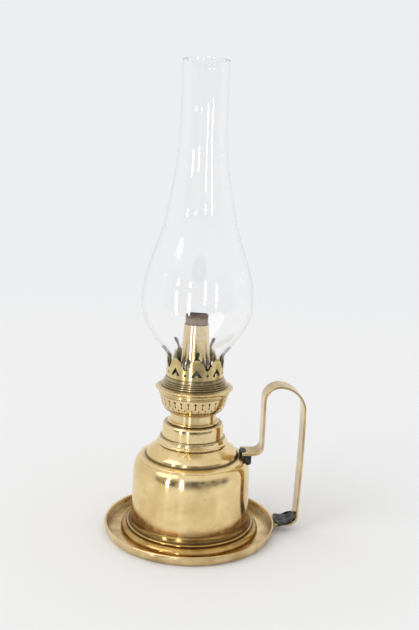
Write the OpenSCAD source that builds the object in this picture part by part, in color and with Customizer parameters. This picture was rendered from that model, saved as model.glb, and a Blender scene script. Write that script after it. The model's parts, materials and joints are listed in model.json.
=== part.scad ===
// Kerosene hand lamp with a saucer, a drum font, a strap handle,
// a round-wick burner and a glass chimney.
// The origin is on the ground under the lamp's axis. +Z is up and the handle is on the +X side.
// Each height starts from the piece below it, so a changed height lifts what stands on it.

/* [Saucer] */
// Diameter over the rolled rim
saucer_d = 126; // [118:1:140]
// Height of the rim above the ground
saucer_h = 7.5; // [6:0.5:9]
// Thickness of the saucer's sheet
saucer_sheet = 1.0; // [0.8:0.1:1.3]
// How far the pan's side leans out from foot to rim
saucer_flare = 4.5; // [3:0.5:6]
// Diameter of the rolled rim's wire
rim_wire_d = 1.8; // [1.4:0.1:2.4]

/* [Foot moulding] */
// How far the foot spreads beyond the drum
foot_spread = 7.4; // [5:0.2:8]
// Height of the bead's middle above the saucer's floor
foot_h = 6.0; // [5:0.5:8]
// Diameter of the bead
foot_bead_d = 1.9; // [1.4:0.1:2.4]
// Height of the hollow curve between the bead and the drum
cove_h = 5.6; // [4:0.2:7]

/* [Font] */
// Diameter of the drum at its foot
drum_d = 86.8; // [80:0.5:92]
// Taper of the drum's wall, on the radius
drum_taper = 0.7; // [0:0.1:1.5]
// Height of the drum from the saucer's floor to its upper lip
drum_h = 54.9; // [45:0.5:70]
// Height of the rounded shoulder
shoulder_h = 12.9; // [9:0.5:16]
// How far the shoulder comes in from the drum's wall
shoulder_in = 4.2; // [3:0.2:6]
// Thickness of the font's sheet
font_sheet = 0.8; // [0.6:0.1:1.2]
// Height of the cover's edge
cover_step = 1.2; // [0.8:0.1:2]
// Rise of the cover's flat ring towards the dome
cover_rise = 0.8; // [0:0.1:1.5]
// Diameter of the dome at its crease
dome_d = 66.8; // [60:0.5:70]
// Height of the dome's upright edge
dome_edge_h = 2.1; // [1:0.1:4]
// Height of the dome's round part
dome_h = 7.2; // [5:0.2:10]

/* [Collar] */
// Diameter of the lower bead
collar_bead_d = 51.6; // [49:0.2:54]
// Height of the beaded ring
collar_base_h = 5.2; // [4:0.2:7]
// Diameter of the collar
collar_d = 44.6; // [42:0.2:46]
// Height of the collar
collar_h = 10.3; // [9:0.1:14]
// Wall of the collar and of its threaded sleeve
collar_wall = 0.9; // [0.7:0.1:1.2]

/* [Handle] */
// Width of the strap
strap_w = 17; // [12:0.5:20]
// Thickness of the strap
strap_t = 1.7; // [1.2:0.1:2.2]
// Distance from the drum to the middle of the inner leg
handle_reach = 7.6; // [6:0.2:12]
// Distance from the saucer's rim to the middle of the outer leg
handle_clear = 17.4; // [15:0.2:24]
// Height of the upper arm's middle above the cover's edge
arm_rise = 3.1; // [2.2:0.1:5]
// Height of the loop above the upper arm
loop_h = 50.8; // [42:0.5:60]
// Radius of the loop's inner corner, at the strap's middle
loop_corner_r = 11; // [8:0.5:12]
// Radius of the lower and middle bends, at the strap's middle
bend_r = 6.4; // [4.5:0.1:8]
// How far the outer leg leans in at its foot
leg_lean = 1.5; // [0:0.1:3]

/* [Burner base] */
// Outer diameter of the burner's threaded sleeve
thread_d = 35.2; // [33:0.2:36]
// Length of the threaded sleeve
thread_l = 9; // [7:0.5:12]
// How far the flange stands out beyond the thread
flange_out = 1.1; // [0.8:0.1:1.3]
// Thickness of the flange
flange_h = 1.4; // [1:0.1:2]
// How far the neck is set in from the thread
neck_inset = 0.9; // [0.6:0.1:1.4]
// Height of the neck
neck_h = 6.2; // [5:0.2:10]
// Thickness of the burner's sheet
burner_sheet = 0.7; // [0.5:0.1:0.9]

/* [Air basket] */
// Diameter of the basket at its upper edge
basket_d = 49.6; // [46:0.2:52]
// Height of the basket
basket_h = 13.6; // [12.4:0.2:16]
// Number of diamond holes round the basket
basket_holes = 30; // [20:2:32]
// Width of a diamond hole
diamond_w = 2.1; // [1.6:0.1:2.6]
// Diameter of the small round holes
small_hole_d = 1.1; // [0.8:0.1:1.3]
// Width of the three-cornered holes at the basket's foot
corner_hole_w = 1.9; // [1.2:0.1:2]

/* [Band and gallery] */
// Diameter of the wide flange
band_d = 56.0; // [53:0.5:60]
// Height of the ogee band up to the gallery
band_h = 6.2; // [5.4:0.2:8]
// Diameter of the gallery's foot
gallery_d = 47.8; // [46:0.2:50]
// Height of the ribbed gallery ring
gallery_h = 6.8; // [5.6:0.2:9]
// Number of ribs on the gallery ring
gallery_ribs = 4; // [2:1:5]

/* [Crown] */
// How far the points reach above the straight foot of the glass
crown_over = 1.8; // [0:0.1:2]
// Height of the crown's plain part, under the valleys
crown_plain_h = 7.3; // [6.7:0.1:8]
// Number of points
crown_points = 8; // [6:1:8]
// Half the width of a point, close under its rounded tip
crown_tip_w = 2.4; // [2:0.1:3]
// Half the width of a pointed hole at its foot
fret_w = 3.7; // [3:0.1:4]
// Height of that hole
fret_h = 5.8; // [4.6:0.1:6]
// Height of that hole's foot above the gallery ring
fret_z = 2.9; // [2.2:0.1:3.4]
// Diameter of the round hole between two pointed ones
eye_d = 1.8; // [1.2:0.1:2.2]
// Height of the round hole's middle above the gallery ring
eye_z = 4.0; // [3:0.1:4.6]
// Diameter of the small notch beside each point
notch_d = 1.3; // [1:0.1:1.5]

/* [Spring prongs] */
// Number of prongs
prong_count = 5; // [3:1:6]
// Thickness of the spring sheet
prong_t = 0.4; // [0.3:0.05:0.5]
// Height of the closed ring at the prongs' roots
prong_ring_h = 4; // [3:0.2:5.5]
// How far the prongs reach up the glass above its straight foot
prong_rise = 8.6; // [7:0.2:11]
// Half the width of a prong at its wide part
prong_half_w = 2.5; // [2:0.1:3]

/* [Wick tube] */
// Height of the wick tube's mouth above the gallery
tube_rise = 37.3; // [30:0.5:45]
// Outer diameter of the tube's mouth
tube_mouth_d = 17.8; // [17.4:0.1:20]
// Outer diameter of the tube at its foot
tube_foot_d = 22.4; // [21.6:0.2:24]
// Wall of the wick tube and the draught tube
tube_wall = 0.5; // [0.3:0.05:0.6]
// Width of the air duct to the draught tube
duct_w = 9; // [7:0.2:9.6]
// Height of the air duct
duct_h = 13; // [9:0.5:14]

/* [Wick] */
// Thickness of the wick
wick_t = 2.1; // [1.6:0.1:2.4]
// How far the wick stands above its tube
wick_show = 7.3; // [3:0.1:9]
// How far the wick can be drawn down, below its place in the photo
wick_travel = 10; // [6:0.5:12]
// How high the wick's tail hangs above the font's floor
wick_tail_gap = 16; // [13:0.5:25]
// Width of the wick's seam
seam_w = 0.4; // [0.2:0.1:0.6]

/* [Wick winder] */
// Diameter of the shaft
shaft_d = 2.4; // [2:0.1:3]
// Height of the shaft above the foot of the basket
shaft_rise = 7.6; // [6.4:0.1:8.4]
// Tip diameter of the feed wheels
wheel_d = 8.0; // [7:0.1:8.6]
// Teeth of a feed wheel
wheel_teeth = 12; // [9:1:16]
// Thickness of a feed wheel
wheel_t = 1.4; // [1:0.1:1.6]
// Distance between the middles of the feed wheels
wheel_pitch = 4.8; // [4:0.1:5.4]
// Diameter of the knob
knob_d = 15; // [12:0.5:18]
// Thickness of the knob
knob_t = 4; // [3:0.2:5]
// Distance from the lamp's axis to the knob's back
knob_reach = 34; // [30:0.5:40]
// Grooves round the knob's edge
knob_grooves = 20; // [12:1:28]

/* [Chimney] */
// Diameter of the glass's foot, which the prongs grip
fitter_d = 38.2; // [37.4:0.1:39]
// Height of the straight foot
fitter_h = 13.7; // [13:0.1:16]
// Height of the whole chimney
chimney_h = 217.7; // [190:1:240]
// Largest diameter of the bulge
bulge_d = 79.2; // [70:0.5:86]
// Height of the bulge's widest place above the glass's foot
bulge_z = 54.2; // [46:0.5:60]
// Diameter of the chimney at its mouth
mouth_d = 31.8; // [28:0.2:36]
// Thickness of the glass
glass_t = 1.5; // [1.2:0.1:2]

/* [Clearances] */
// Gap between the threaded sleeve and the collar, on the radius
thread_gap = 0.4; // [0.3:0.05:0.6]
// Gap under a piece that stands on another and lifts off
seat_gap = 0.2; // [0.1:0.05:0.4]
// Gap between the glass and what holds it
glass_gap = 0.35; // [0.3:0.05:0.5]
// Gap between the wick and its tubes
wick_gap = 0.3; // [0.25:0.05:0.4]
// Running gap of the shaft in its bearings, on the radius
shaft_gap = 0.05; // [0.03:0.01:0.08]

/* [Hidden] */
$fn = 96;

brass = "#d8b878";
pale_brass = "#e0c890";
grey_brass = "#a89880";
solder = "#55544f";
spring_bronze = "#5d6056";
cotton = "#a58a7c";
clear_glass = "#dfe8ea";

// Steps of a curved stretch
CURVE_STEPS = 12;
FINE_STEPS = 28;
CORNER_STEPS = 16;
LOOP_STEPS = 32;
// Where the seam of the burner's band shows, round from the handle
SEAM_ANGLE = 273;

// Heights, from the ground up
floor_z = saucer_sheet;
bead_z = floor_z + foot_h;
cove_z = bead_z + cove_h;
lip_z = floor_z + drum_h;
ledge_z = lip_z + cover_step;
crease_z = ledge_z + cover_rise;
dome_z = crease_z + dome_edge_h + dome_h;
collar_z = dome_z + collar_base_h;
collar_top_z = collar_z + collar_h;
flange_z = collar_top_z + seat_gap;
neck_z = flange_z + flange_h;
basket_z = neck_z + neck_h;
band_z = basket_z + basket_h;
gallery_z = band_z + band_h;
crown_z = gallery_z + gallery_h;
crown_h = fitter_h + crown_over;
tube_top_z = crown_z + tube_rise;
wick_top_z = tube_top_z + wick_show;
glass_z = crown_z + seat_gap;
fitter_z = glass_z + fitter_h;
widest_z = glass_z + bulge_z;
glass_top_z = glass_z + chimney_h;

// Radii of the saucer and the font
saucer_r = saucer_d / 2;
rim_wire_r = rim_wire_d / 2;
rim_mid_r = saucer_r - rim_wire_r;
rim_mid_z = saucer_h - rim_wire_r;
rim_seat_z = rim_mid_z - sqrt(pow(rim_wire_r, 2) - pow(saucer_sheet / 2, 2));
drum_r = drum_d / 2;
drum_top_r = drum_r - drum_taper;
lip_r = drum_top_r - shoulder_in;
lip_w = 2.6;
dome_r = dome_d / 2;
dome_round_r = dome_r - 0.2;
bead_r = foot_bead_d / 2;

// Radii of the collar and the burner
thread_r = thread_d / 2;
bore_r = thread_r + thread_gap;
neck_r = thread_r - neck_inset;
flange_r = thread_r + flange_out;
collar_r = collar_d / 2;
collar_edge_r = (collar_r + bore_r) / 2 - 0.5;
collar_bead_r = collar_bead_d / 2;
basket_r = basket_d / 2;
band_r = band_d / 2;
gallery_r = gallery_d / 2;
fitter_r = fitter_d / 2;
spring_r = fitter_r + glass_gap + prong_t;
crown_r = spring_r + burner_sheet;
bulge_r = bulge_d / 2;
mouth_r = mouth_d / 2;

// Radii of the wick and its tubes
tube_mouth_r = tube_mouth_d / 2;
tube_foot_r = tube_foot_d / 2;
tube_cone_z = crown_z - 5;
wick_r = tube_mouth_r - tube_wall - wick_gap;
wick_in_r = wick_r - wick_t;
draught_r = wick_in_r - wick_gap;
duct_z = neck_z + 6;
duct_top_z = duct_z + duct_h;
// Room over the air duct when the wick is at its lowest
parting_room = 6;
wick_gap_top_z = duct_top_z + wick_travel + parting_room;
wick_tail_z = floor_z + wick_tail_gap;

// The winder's shaft runs along Y, beside the wick
shaft_r = shaft_d / 2;
bearing_r = shaft_r + shaft_gap;
wheel_r = wheel_d / 2;
shaft_x = wick_r + wick_gap + wheel_r;
shaft_z = basket_z + shaft_rise;
bush_r = bearing_r + 1.4;
ear_t = 0.8;
ear_y = wheel_pitch / 2 + wheel_t / 2 + 0.8;
bracket_x = shaft_x + wheel_r + 0.5;

// The handle's strap, at its middle line
arm_z = ledge_z + arm_rise;
inner_leg_x = drum_r + handle_reach;
outer_leg_x = saucer_r + handle_clear;
loop_top_z = arm_z + loop_h;
loop_r = outer_leg_x - inner_leg_x - loop_corner_r;
foot_leg_x = outer_leg_x - leg_lean;
strap_foot_z = saucer_h - strap_t / 2;
arm_end_x = lip_r - 2.4;

// A point on a cubic curve, and the curve as a list of points
function bezier(c, t) =
    pow(1 - t, 3) * c[0] + 3 * t * pow(1 - t, 2) * c[1] + 3 * t * t * (1 - t) * c[2] + pow(t, 3) * c[3];
function curve(c, n = CURVE_STEPS) = [for (i = [0:n]) bezier(c, i / n)];
// A list without its first point, and a list turned round
function tail(p) = [for (i = [1:len(p) - 1]) p[i]];
function turned(p) = [for (i = [len(p) - 1:-1:0]) p[i]];
// An arc from angle a to angle b
function arc(mid, r, a, b, n = CORNER_STEPS) =
    [for (i = [0:n]) mid + r * [cos(a + (b - a) * i / n), sin(a + (b - a) * i / n)]];

// The side of a path where a sheet's thickness goes: left of its direction
function unit(v) = v / norm(v);
function left_of(v) = [-v[1], v[0]];
function miter(p, i) =
    let (
        back = i > 0 ? left_of(unit(p[i] - p[i - 1])) : left_of(unit(p[1] - p[0])),
        ahead = i < len(p) - 1 ? left_of(unit(p[i + 1] - p[i])) : back
    )
    (back + ahead) / (1 + back * ahead);
function beside(p, t) = [for (i = [0:len(p) - 1]) p[i] + t * miter(p, i)];
function sheet(p, t) = concat(p, turned(beside(p, t)));

// The glass's outer line, from the foot of its curve to the mouth
glass_belly = [
    [fitter_r, fitter_z],
    [fitter_r, fitter_z + 0.15 * (widest_z - fitter_z)],
    [bulge_r, widest_z - 0.59 * (widest_z - fitter_z)],
    [bulge_r, widest_z]
];
upper_h = glass_top_z - widest_z;
glass_neck_r = mouth_r + 0.34 * (bulge_r - mouth_r);
glass_shoulder = [
    [bulge_r, widest_z],
    [bulge_r, widest_z + 0.14 * upper_h],
    [glass_neck_r + 3.4, widest_z + 0.25 * upper_h],
    [glass_neck_r, widest_z + 0.376 * upper_h]
];
glass_throat = [
    [glass_neck_r, widest_z + 0.376 * upper_h],
    [glass_neck_r - 2.6, widest_z + 0.472 * upper_h],
    [mouth_r + 0.3, widest_z + 0.56 * upper_h],
    [mouth_r + 0.1, widest_z + 0.786 * upper_h]
];

// A hole or cutter whose outline lies in the plane of width and height, run out from the axis
module radial(angle, r0, r1) {
    rotate([0, 0, angle]) translate([r0, 0, 0]) rotate([90, 0, 90])
        linear_extrude(r1 - r0) children();
}

// A revolved sheet along a path of radius and height
module spun(path, t) {
    rotate_extrude() polygon(sheet(path, t));
}

module saucer_dish() {
    edge_r = rim_mid_r + saucer_sheet / 2;
    foot_r = edge_r - saucer_flare;
    corner = 3.2;
    side = curve([
        [foot_r, 0],
        [foot_r + corner, 0],
        [edge_r, rim_seat_z - corner],
        [edge_r, rim_seat_z]
    ]);
    inner = beside(side, saucer_sheet);
    color(brass) rotate_extrude() polygon(concat(
        [[0, 0]], side, [[edge_r - saucer_sheet, rim_seat_z]],
        [for (i = [len(side) - 2:-1:0]) inner[i]], [[0, saucer_sheet]]
    ));
}

// The wire is flat where the pan's edge meets it
module saucer_rim() {
    half = asin(saucer_sheet / 2 / rim_wire_r);
    color(pale_brass) rotate_extrude()
        polygon(arc([rim_mid_r, rim_mid_z], rim_wire_r, half - 90, 270 - half, 24));
}

module foot_moulding() {
    foot_r = drum_r + foot_spread;
    bead_mid_r = drum_r + 0.3 * foot_spread;
    skirt = curve([
        [foot_r, floor_z + 0.9],
        [foot_r - 0.6, bead_z - 1.6],
        [bead_mid_r + 2.6, bead_z - 1.4],
        [bead_mid_r + 0.5 * bead_r, bead_z - 0.86 * bead_r]
    ]);
    bead = arc([bead_mid_r, bead_z], bead_r, -60, 120);
    cove = curve([
        [bead_mid_r - 0.5 * bead_r, bead_z + 0.86 * bead_r],
        [drum_r + 0.9, bead_z + 0.2 * cove_h + bead_r],
        [drum_r + 0.35, bead_z + 0.5 * cove_h],
        [drum_r + 0.15, cove_z]
    ]);
    color(brass) difference() {
        rotate_extrude() polygon(concat(
            [[foot_r - font_sheet, floor_z], [foot_r, floor_z]], skirt, tail(bead), tail(cove),
            [[drum_r - 2, cove_z], [drum_r - 2, bead_z - bead_r]],
            turned(beside(skirt, font_sheet))
        ));
        translate([0, 0, floor_z]) drum_envelope();
    }
}

// Everything inside the drum's outer surface, from the saucer's floor up
module drum_envelope() {
    rotate_extrude() polygon(concat([[0, 0]], drum_line(), [[0, drum_h]]));
}

// The drum's outer line, above the saucer's floor
function drum_line() = concat(
    [[drum_r, 0]],
    curve([
        [drum_top_r, drum_h - shoulder_h],
        [drum_top_r - 0.1, drum_h - 0.4 * shoulder_h],
        [drum_top_r - 0.4 * shoulder_in, drum_h - 0.1 * shoulder_h],
        [lip_r, drum_h]
    ])
);

module font_drum() {
    outer = drum_line();
    color(brass) translate([0, 0, floor_z]) rotate_extrude()
        polygon(sheet(concat(outer, [[lip_r - lip_w, drum_h]]), font_sheet));
}

module font_floor() {
    r = drum_r - font_sheet - 0.1;
    upturn = 3;
    color(brass) translate([0, 0, floor_z]) rotate_extrude() polygon([
        [0, 1.2], [r - 3, 0], [r, 0], [r - 0.05, upturn], [r - font_sheet - 0.05, upturn],
        [r - font_sheet - 0.05, font_sheet], [r - 3, font_sheet], [0, 1.2 + font_sheet]
    ]);
}

module font_cover() {
    round_top_r = collar_bead_r - 1.2;
    dome = curve([
        [dome_round_r, crease_z + dome_edge_h],
        [dome_round_r - 0.4, crease_z + dome_edge_h + 0.3 * dome_h],
        [round_top_r + 3.2, dome_z - 2.4],
        [round_top_r, dome_z]
    ]);
    color(brass) spun(concat(cover_edge(), dome, [[bore_r + collar_wall, dome_z]]), font_sheet);
}

module collar_base() {
    waist_r = collar_r + 1.6;
    h = collar_base_h;
    bulge = arc([collar_bead_r - 0.9, dome_z + 1.0], 0.9, -80, 80);
    color(pale_brass) rotate_extrude() polygon(concat(
        [[bore_r + collar_wall, dome_z], [collar_bead_r - 1.4, dome_z]],
        bulge,
        [
            [collar_bead_r - 1.5, dome_z + 0.45 * h],
            [waist_r + 0.3, dome_z + 0.74 * h],
            [waist_r, dome_z + 0.9 * h],
            [waist_r - 0.6, dome_z + h],
            [bore_r + collar_wall, dome_z + h]
        ]
    ));
}

module collar() {
    brim = curve([
        [collar_r, collar_top_z - 0.34 * collar_h],
        [collar_r - 0.1, collar_top_z - 0.1 * collar_h],
        [collar_edge_r + 1.6, collar_top_z],
        [collar_edge_r, collar_top_z]
    ]);
    // The sleeve goes down inside the beaded ring
    sleeve_z = dome_z - 1.5;
    outer = concat([[collar_r, collar_z]], brim);
    inner = beside(concat(outer, [[bore_r, collar_top_z]]), collar_wall);
    fold = len(inner) - 2;
    color(brass) rotate_extrude() polygon(concat(
        outer,
        [[bore_r, collar_top_z], [bore_r, sleeve_z], [bore_r + collar_wall, sleeve_z]],
        [[bore_r + collar_wall, collar_top_z - collar_wall]],
        [for (i = [fold:-1:0]) inner[i]]
    ));
}

// The middle line of the strap: along the upper arm, round the loop and down to the rim
function strap_line() = concat(
    [[arm_end_x, arm_z]],
    arc([inner_leg_x - bend_r, arm_z + bend_r], bend_r, -90, 0),
    arc([inner_leg_x + loop_corner_r, loop_top_z - loop_corner_r], loop_corner_r, 180, 90),
    tail(arc([outer_leg_x - loop_r, loop_top_z - loop_r], loop_r, 90, 0, LOOP_STEPS)),
    tail(curve([
        [outer_leg_x, loop_top_z - loop_r],
        [outer_leg_x + 0.5, strap_foot_z + 0.7 * (loop_top_z - loop_r - strap_foot_z)],
        [foot_leg_x + 0.6 * leg_lean, strap_foot_z + 0.35 * (loop_top_z - loop_r - strap_foot_z)],
        [foot_leg_x, strap_foot_z + bend_r]
    ])),
    tail(arc([foot_leg_x - bend_r, strap_foot_z + bend_r], bend_r, 0, -90)),
    [[saucer_r - 2, strap_foot_z]]
);

module strap() {
    rotate([90, 0, 0]) linear_extrude(strap_w, center = true)
        polygon(concat(beside(strap_line(), strap_t / 2), turned(beside(strap_line(), -strap_t / 2))));
}

module handle() {
    color(pale_brass) difference() {
        strap();
        cylinder(h = saucer_h + 1, r = saucer_r);
    }
}

// Solder round the strap's end, down onto the shoulder of the drum
module handle_solder_top() {
    w = strap_w - 3;
    end_x = arm_end_x - 1.4;
    out_x = drum_top_r + 0.9;
    run_z = lip_z - 5;
    over_z = arm_z + strap_t / 2;
    under_z = arm_z - strap_t / 2;
    color(solder) difference() {
        rotate([90, 0, 0]) linear_extrude(w, center = true) polygon([
            [end_x, lip_z - 1], [end_x, arm_z], [end_x + 1.2, over_z + 0.5],
            [arm_end_x + 2.2, over_z + 0.3], [arm_end_x + 3.2, over_z],
            [arm_end_x, over_z], [arm_end_x, under_z], [out_x - 0.6, under_z],
            [out_x, under_z - 1.6], [out_x, run_z + 1.5], [out_x - 1, run_z], [lip_r, run_z]
        ]);
        font_envelope();
    }
}

// Everything inside the outer surface of the drum and its cover
module font_envelope() {
    top_z = crease_z + dome_edge_h;
    rotate_extrude() polygon(concat(
        [[0, floor_z]],
        [for (p = drum_line()) p + [0, floor_z]],
        cover_edge(),
        [[dome_round_r, top_z], [dome_round_r - 1.5, top_z + 2.2], [0, top_z + 2.2]]
    ));
}

// The cover's edge and flat ring, up to the crease of the dome
function cover_edge() = [
    [lip_r - 0.1, lip_z], [lip_r - 0.1, ledge_z - 0.3], [lip_r - 0.4, ledge_z],
    [dome_r + 0.5, crease_z], [dome_r, crease_z + 0.4]
];

// Solder over the strap's foot, against the saucer's rim
module handle_solder_foot() {
    w = strap_w + 1.2;
    top_z = strap_foot_z + strap_t / 2;
    in_x = foot_leg_x - bend_r;
    coat = 0.7;
    bend = arc([in_x, strap_foot_z + bend_r], bend_r - strap_t / 2 - coat, -90, -20);
    color(solder) difference() {
        rotate([90, 0, 0]) linear_extrude(w, center = true) polygon(concat(
            [[saucer_r - 1.2, strap_foot_z - 2], [saucer_r + 2.4, strap_foot_z - 2]],
            [[saucer_r + 3.4, strap_foot_z], [in_x, strap_foot_z]],
            [[foot_leg_x - 0.6, strap_foot_z + 0.7 * bend_r]],
            turned(bend),
            [[saucer_r + 1.6, top_z + coat], [saucer_r - 0.4, top_z + 1.3], [saucer_r - 1.2, top_z + 1.2]]
        ));
        strap();
        cylinder(h = saucer_h + 3, r = saucer_r);
    }
}

module burner_base() {
    sheet_t = burner_sheet;
    edge = arc([flange_r - flange_h / 2, flange_z + flange_h / 2], flange_h / 2, -90, 90);
    color(pale_brass) rotate_extrude() polygon(concat(
        [
            [thread_r - sheet_t, flange_z - thread_l],
            [thread_r, flange_z - thread_l],
            [thread_r, flange_z]
        ],
        edge,
        [[neck_r - 2, neck_z], [neck_r - 2, neck_z - sheet_t], [thread_r - sheet_t, neck_z - sheet_t]]
    ));
}

module burner_neck() {
    color(brass) rotate_extrude() polygon([
        [tube_foot_r, neck_z],
        [neck_r, neck_z],
        [neck_r, basket_z],
        [neck_r - burner_sheet, basket_z],
        [neck_r - burner_sheet, neck_z + burner_sheet],
        [tube_foot_r, neck_z + burner_sheet]
    ]);
}

// The bowl's outer line, from the neck to the band
function basket_line() = curve([
    [neck_r, basket_z],
    [neck_r + 0.68 * (basket_r - neck_r), basket_z + 0.05 * basket_h],
    [basket_r - 1.1, basket_z + 0.5 * basket_h],
    [basket_r, band_z]
]);

module air_basket() {
    pitch = 360 / basket_holes;
    bowl = basket_line();
    inner = beside(bowl, burner_sheet);
    color(pale_brass) difference() {
        rotate_extrude() polygon(concat(
            [[neck_r - burner_sheet, basket_z]], bowl, [[basket_r - burner_sheet, band_z]],
            [for (i = [len(inner) - 2:-1:1]) inner[i]]
        ));
        for (i = [0:basket_holes - 1]) {
            angle = 270 + i * pitch;
            radial(angle, neck_r, basket_r + 2)
                keyhole(basket_z + 0.81 * basket_h, basket_z + 0.57 * basket_h);
            radial(angle + pitch / 2, neck_r, basket_r + 2)
                translate([0, basket_z + 0.43 * basket_h]) circle(d = small_hole_d, $fn = 16);
            radial(angle, neck_r, basket_r + 2)
                translate([0, basket_z + 0.27 * basket_h]) three_corners(1);
            radial(angle + pitch / 2, neck_r, basket_r + 2)
                translate([0, basket_z + 0.25 * basket_h]) three_corners(-1);
        }
        bushing_bar(bush_r);
    }
}

// A three-cornered hole, with its point up or down
module three_corners(up) {
    w = corner_hole_w / 2;
    polygon([[-w, -up * 0.7 * w], [w, -up * 0.7 * w], [0, up * w]]);
}

// A diamond with a slit down to a small square eye
module keyhole(diamond_z, eye_z) {
    d = diamond_w / 2;
    slit = 0.25;
    eye = 0.75;
    polygon([
        [0, diamond_z + d], [-d, diamond_z], [-slit, diamond_z - d + slit],
        [-slit, eye_z + eye - slit], [-eye, eye_z], [0, eye_z - eye], [eye, eye_z],
        [slit, eye_z + eye - slit], [slit, diamond_z - d + slit], [d, diamond_z]
    ]);
}

module burner_band() {
    t = burner_sheet;
    // A bead over the basket, a hollow curve out to the wide edge, and a top that falls outwards
    ogee = curve([
        [basket_r + 0.3, band_z + 0.28 * band_h],
        [basket_r + 0.5, band_z + 0.55 * band_h],
        [band_r - 1.6, band_z + 0.45 * band_h],
        [band_r - 0.4, band_z + 0.64 * band_h]
    ]);
    color(pale_brass) difference() {
        rotate_extrude() polygon(concat(
            [[basket_r - t, band_z], [basket_r, band_z]],
            arc([basket_r + 0.1, band_z + 0.8], 0.65, -70, 70, CORNER_STEPS / 2),
            ogee,
            [[band_r, band_z + 0.72 * band_h], [band_r, band_z + 0.77 * band_h]],
            [[band_r - 0.6, band_z + 0.85 * band_h]],
            [[gallery_r + 0.2, gallery_z], [gallery_r - 1.9, gallery_z], [gallery_r - 1.9, gallery_z - t]],
            [[gallery_r, gallery_z - t], [band_r - 2.2, band_z + 0.74 * band_h]],
            [[basket_r, band_z + 0.6 * band_h], [basket_r - t, band_z + 0.3 * band_h]]
        ));
        // The seam where the band's ends meet
        rotate([0, 0, SEAM_ANGLE]) translate([band_r - 0.7, -0.25, band_z + 0.3 * band_h])
            cube([2, 0.5, band_h]);
    }
}

module gallery_ring() {
    // Ribs like small steps, each a little narrower than the one below
    rib_h = gallery_h / (gallery_ribs + 1);
    rib_in = (gallery_r - crown_r - 0.3) / gallery_ribs;
    steps = [for (i = [0:gallery_ribs - 1])
        each arc([gallery_r - i * rib_in - 0.42 * rib_h, gallery_z + (i + 0.5) * rib_h], 0.42 * rib_h, -90, 90, 6)
    ];
    throat_r = fitter_r - glass_t - 0.6;
    color(grey_brass) rotate_extrude() polygon(concat(
        [[gallery_r - 2.4, gallery_z], [gallery_r - 0.5 * rib_h, gallery_z]],
        steps,
        [[crown_r + 0.4, crown_z - 0.8 * rib_h], [crown_r + 0.15, crown_z]],
        [[throat_r, crown_z], [throat_r, crown_z - burner_sheet]],
        [[crown_r - 1.4, crown_z - burner_sheet - 0.4]]
    ));
}

// The space between two points of the crown, in width and height: a cup with a small round
// notch on each side, and straight slopes up to the rounded points
module valley() {
    half_pitch = crown_r * sin(180 / crown_points);
    over = half_pitch + 0.6;
    cup_r = 2;
    slope_z = crown_plain_h + 2 * cup_r + 1.2;
    half = concat(
        arc([0, crown_plain_h + cup_r], cup_r, -90, 0, 6),
        [[half_pitch - crown_tip_w - 1.9, slope_z]],
        curve([
            [half_pitch - crown_tip_w + 0.1, crown_h - 1.6],
            [half_pitch - 0.7 * crown_tip_w, crown_h - 0.4],
            [half_pitch - 0.4 * crown_tip_w, crown_h],
            [half_pitch, crown_h]
        ], 6),
        [[over, crown_h], [over, crown_h + 4]]
    );
    polygon(concat(half, turned([for (p = half) [-p[0], p[1]]])));
    for (side = [-1, 1]) translate([side * (cup_r + 0.8), slope_z - 1.8]) circle(d = notch_d, $fn = 16);
}

// A pointed hole with two feet
module fret() {
    foot_w = 2.1;
    polygon([
        [0, fret_h], [fret_w, 0.14 * fret_h], [fret_w, 0], [fret_w - foot_w, 0],
        [0.45, 0.3 * fret_h], [-0.45, 0.3 * fret_h],
        [foot_w - fret_w, 0], [-fret_w, 0], [-fret_w, 0.14 * fret_h]
    ]);
}

module crown() {
    pitch = 360 / crown_points;
    in_r = crown_r - 4;
    out_r = crown_r + 4;
    color(pale_brass) difference() {
        rotate_extrude() polygon(round_glass(glass_gap + prong_t, burner_sheet, crown_z + crown_h + 1));
        translate([0, 0, crown_z]) for (i = [0:crown_points - 1]) {
            radial(i * pitch, in_r, out_r) translate([0, fret_z]) fret();
            radial((i + 0.5) * pitch, in_r, out_r) valley();
            radial((i + 0.5) * pitch, in_r, out_r) translate([0, eye_z]) circle(d = eye_d, $fn = 24);
        }
    }
}

// A sheet round the glass from the gallery up: along its straight foot, then along its curve to a height
function round_glass(gap, t, top_z) =
    let (
        belly = [for (p = curve(glass_belly, FINE_STEPS)) if (p[1] < top_z) p],
        line = concat([[fitter_r, crown_z], [fitter_r, fitter_z - 0.5]], belly)
    )
    concat(beside(line, -gap), turned(beside(line, -gap - t)));

// The prong's outline from the front: a wide root, a narrow stem, a small swelling and a leaf
module prong_outline() {
    top = fitter_h + prong_rise;
    stem_z = top - 6.2;
    half = concat(
        [[prong_half_w, 0.5], [0.8 * prong_half_w, stem_z - 9]],
        curve([[0.8 * prong_half_w, stem_z - 6.5], [1.25 * prong_half_w, stem_z - 3.4],
            [1.2 * prong_half_w, stem_z - 0.6], [0.95, stem_z + 0.4]], 6),
        [[0.95, stem_z + 2.4]],
        curve([[1.4, stem_z + 3.3], [1.7, stem_z + 4.6], [1.4, top - 0.2], [0.6, top]], 6)
    );
    polygon(concat(half, turned([for (p = half) [-p[0], p[1]]])));
}

module spring_ring() {
    color(spring_bronze) intersection() {
        rotate_extrude() polygon(round_glass(glass_gap, prong_t, fitter_z + prong_rise + 4));
        translate([0, 0, crown_z]) union() {
            translate([0, 0, -1]) cylinder(h = prong_ring_h + 1, r = crown_r + 2);
            for (i = [0:prong_count - 1])
                radial(270 + i * 360 / prong_count, fitter_r - 6, bulge_r) prong_outline();
        }
    }
}

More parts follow.
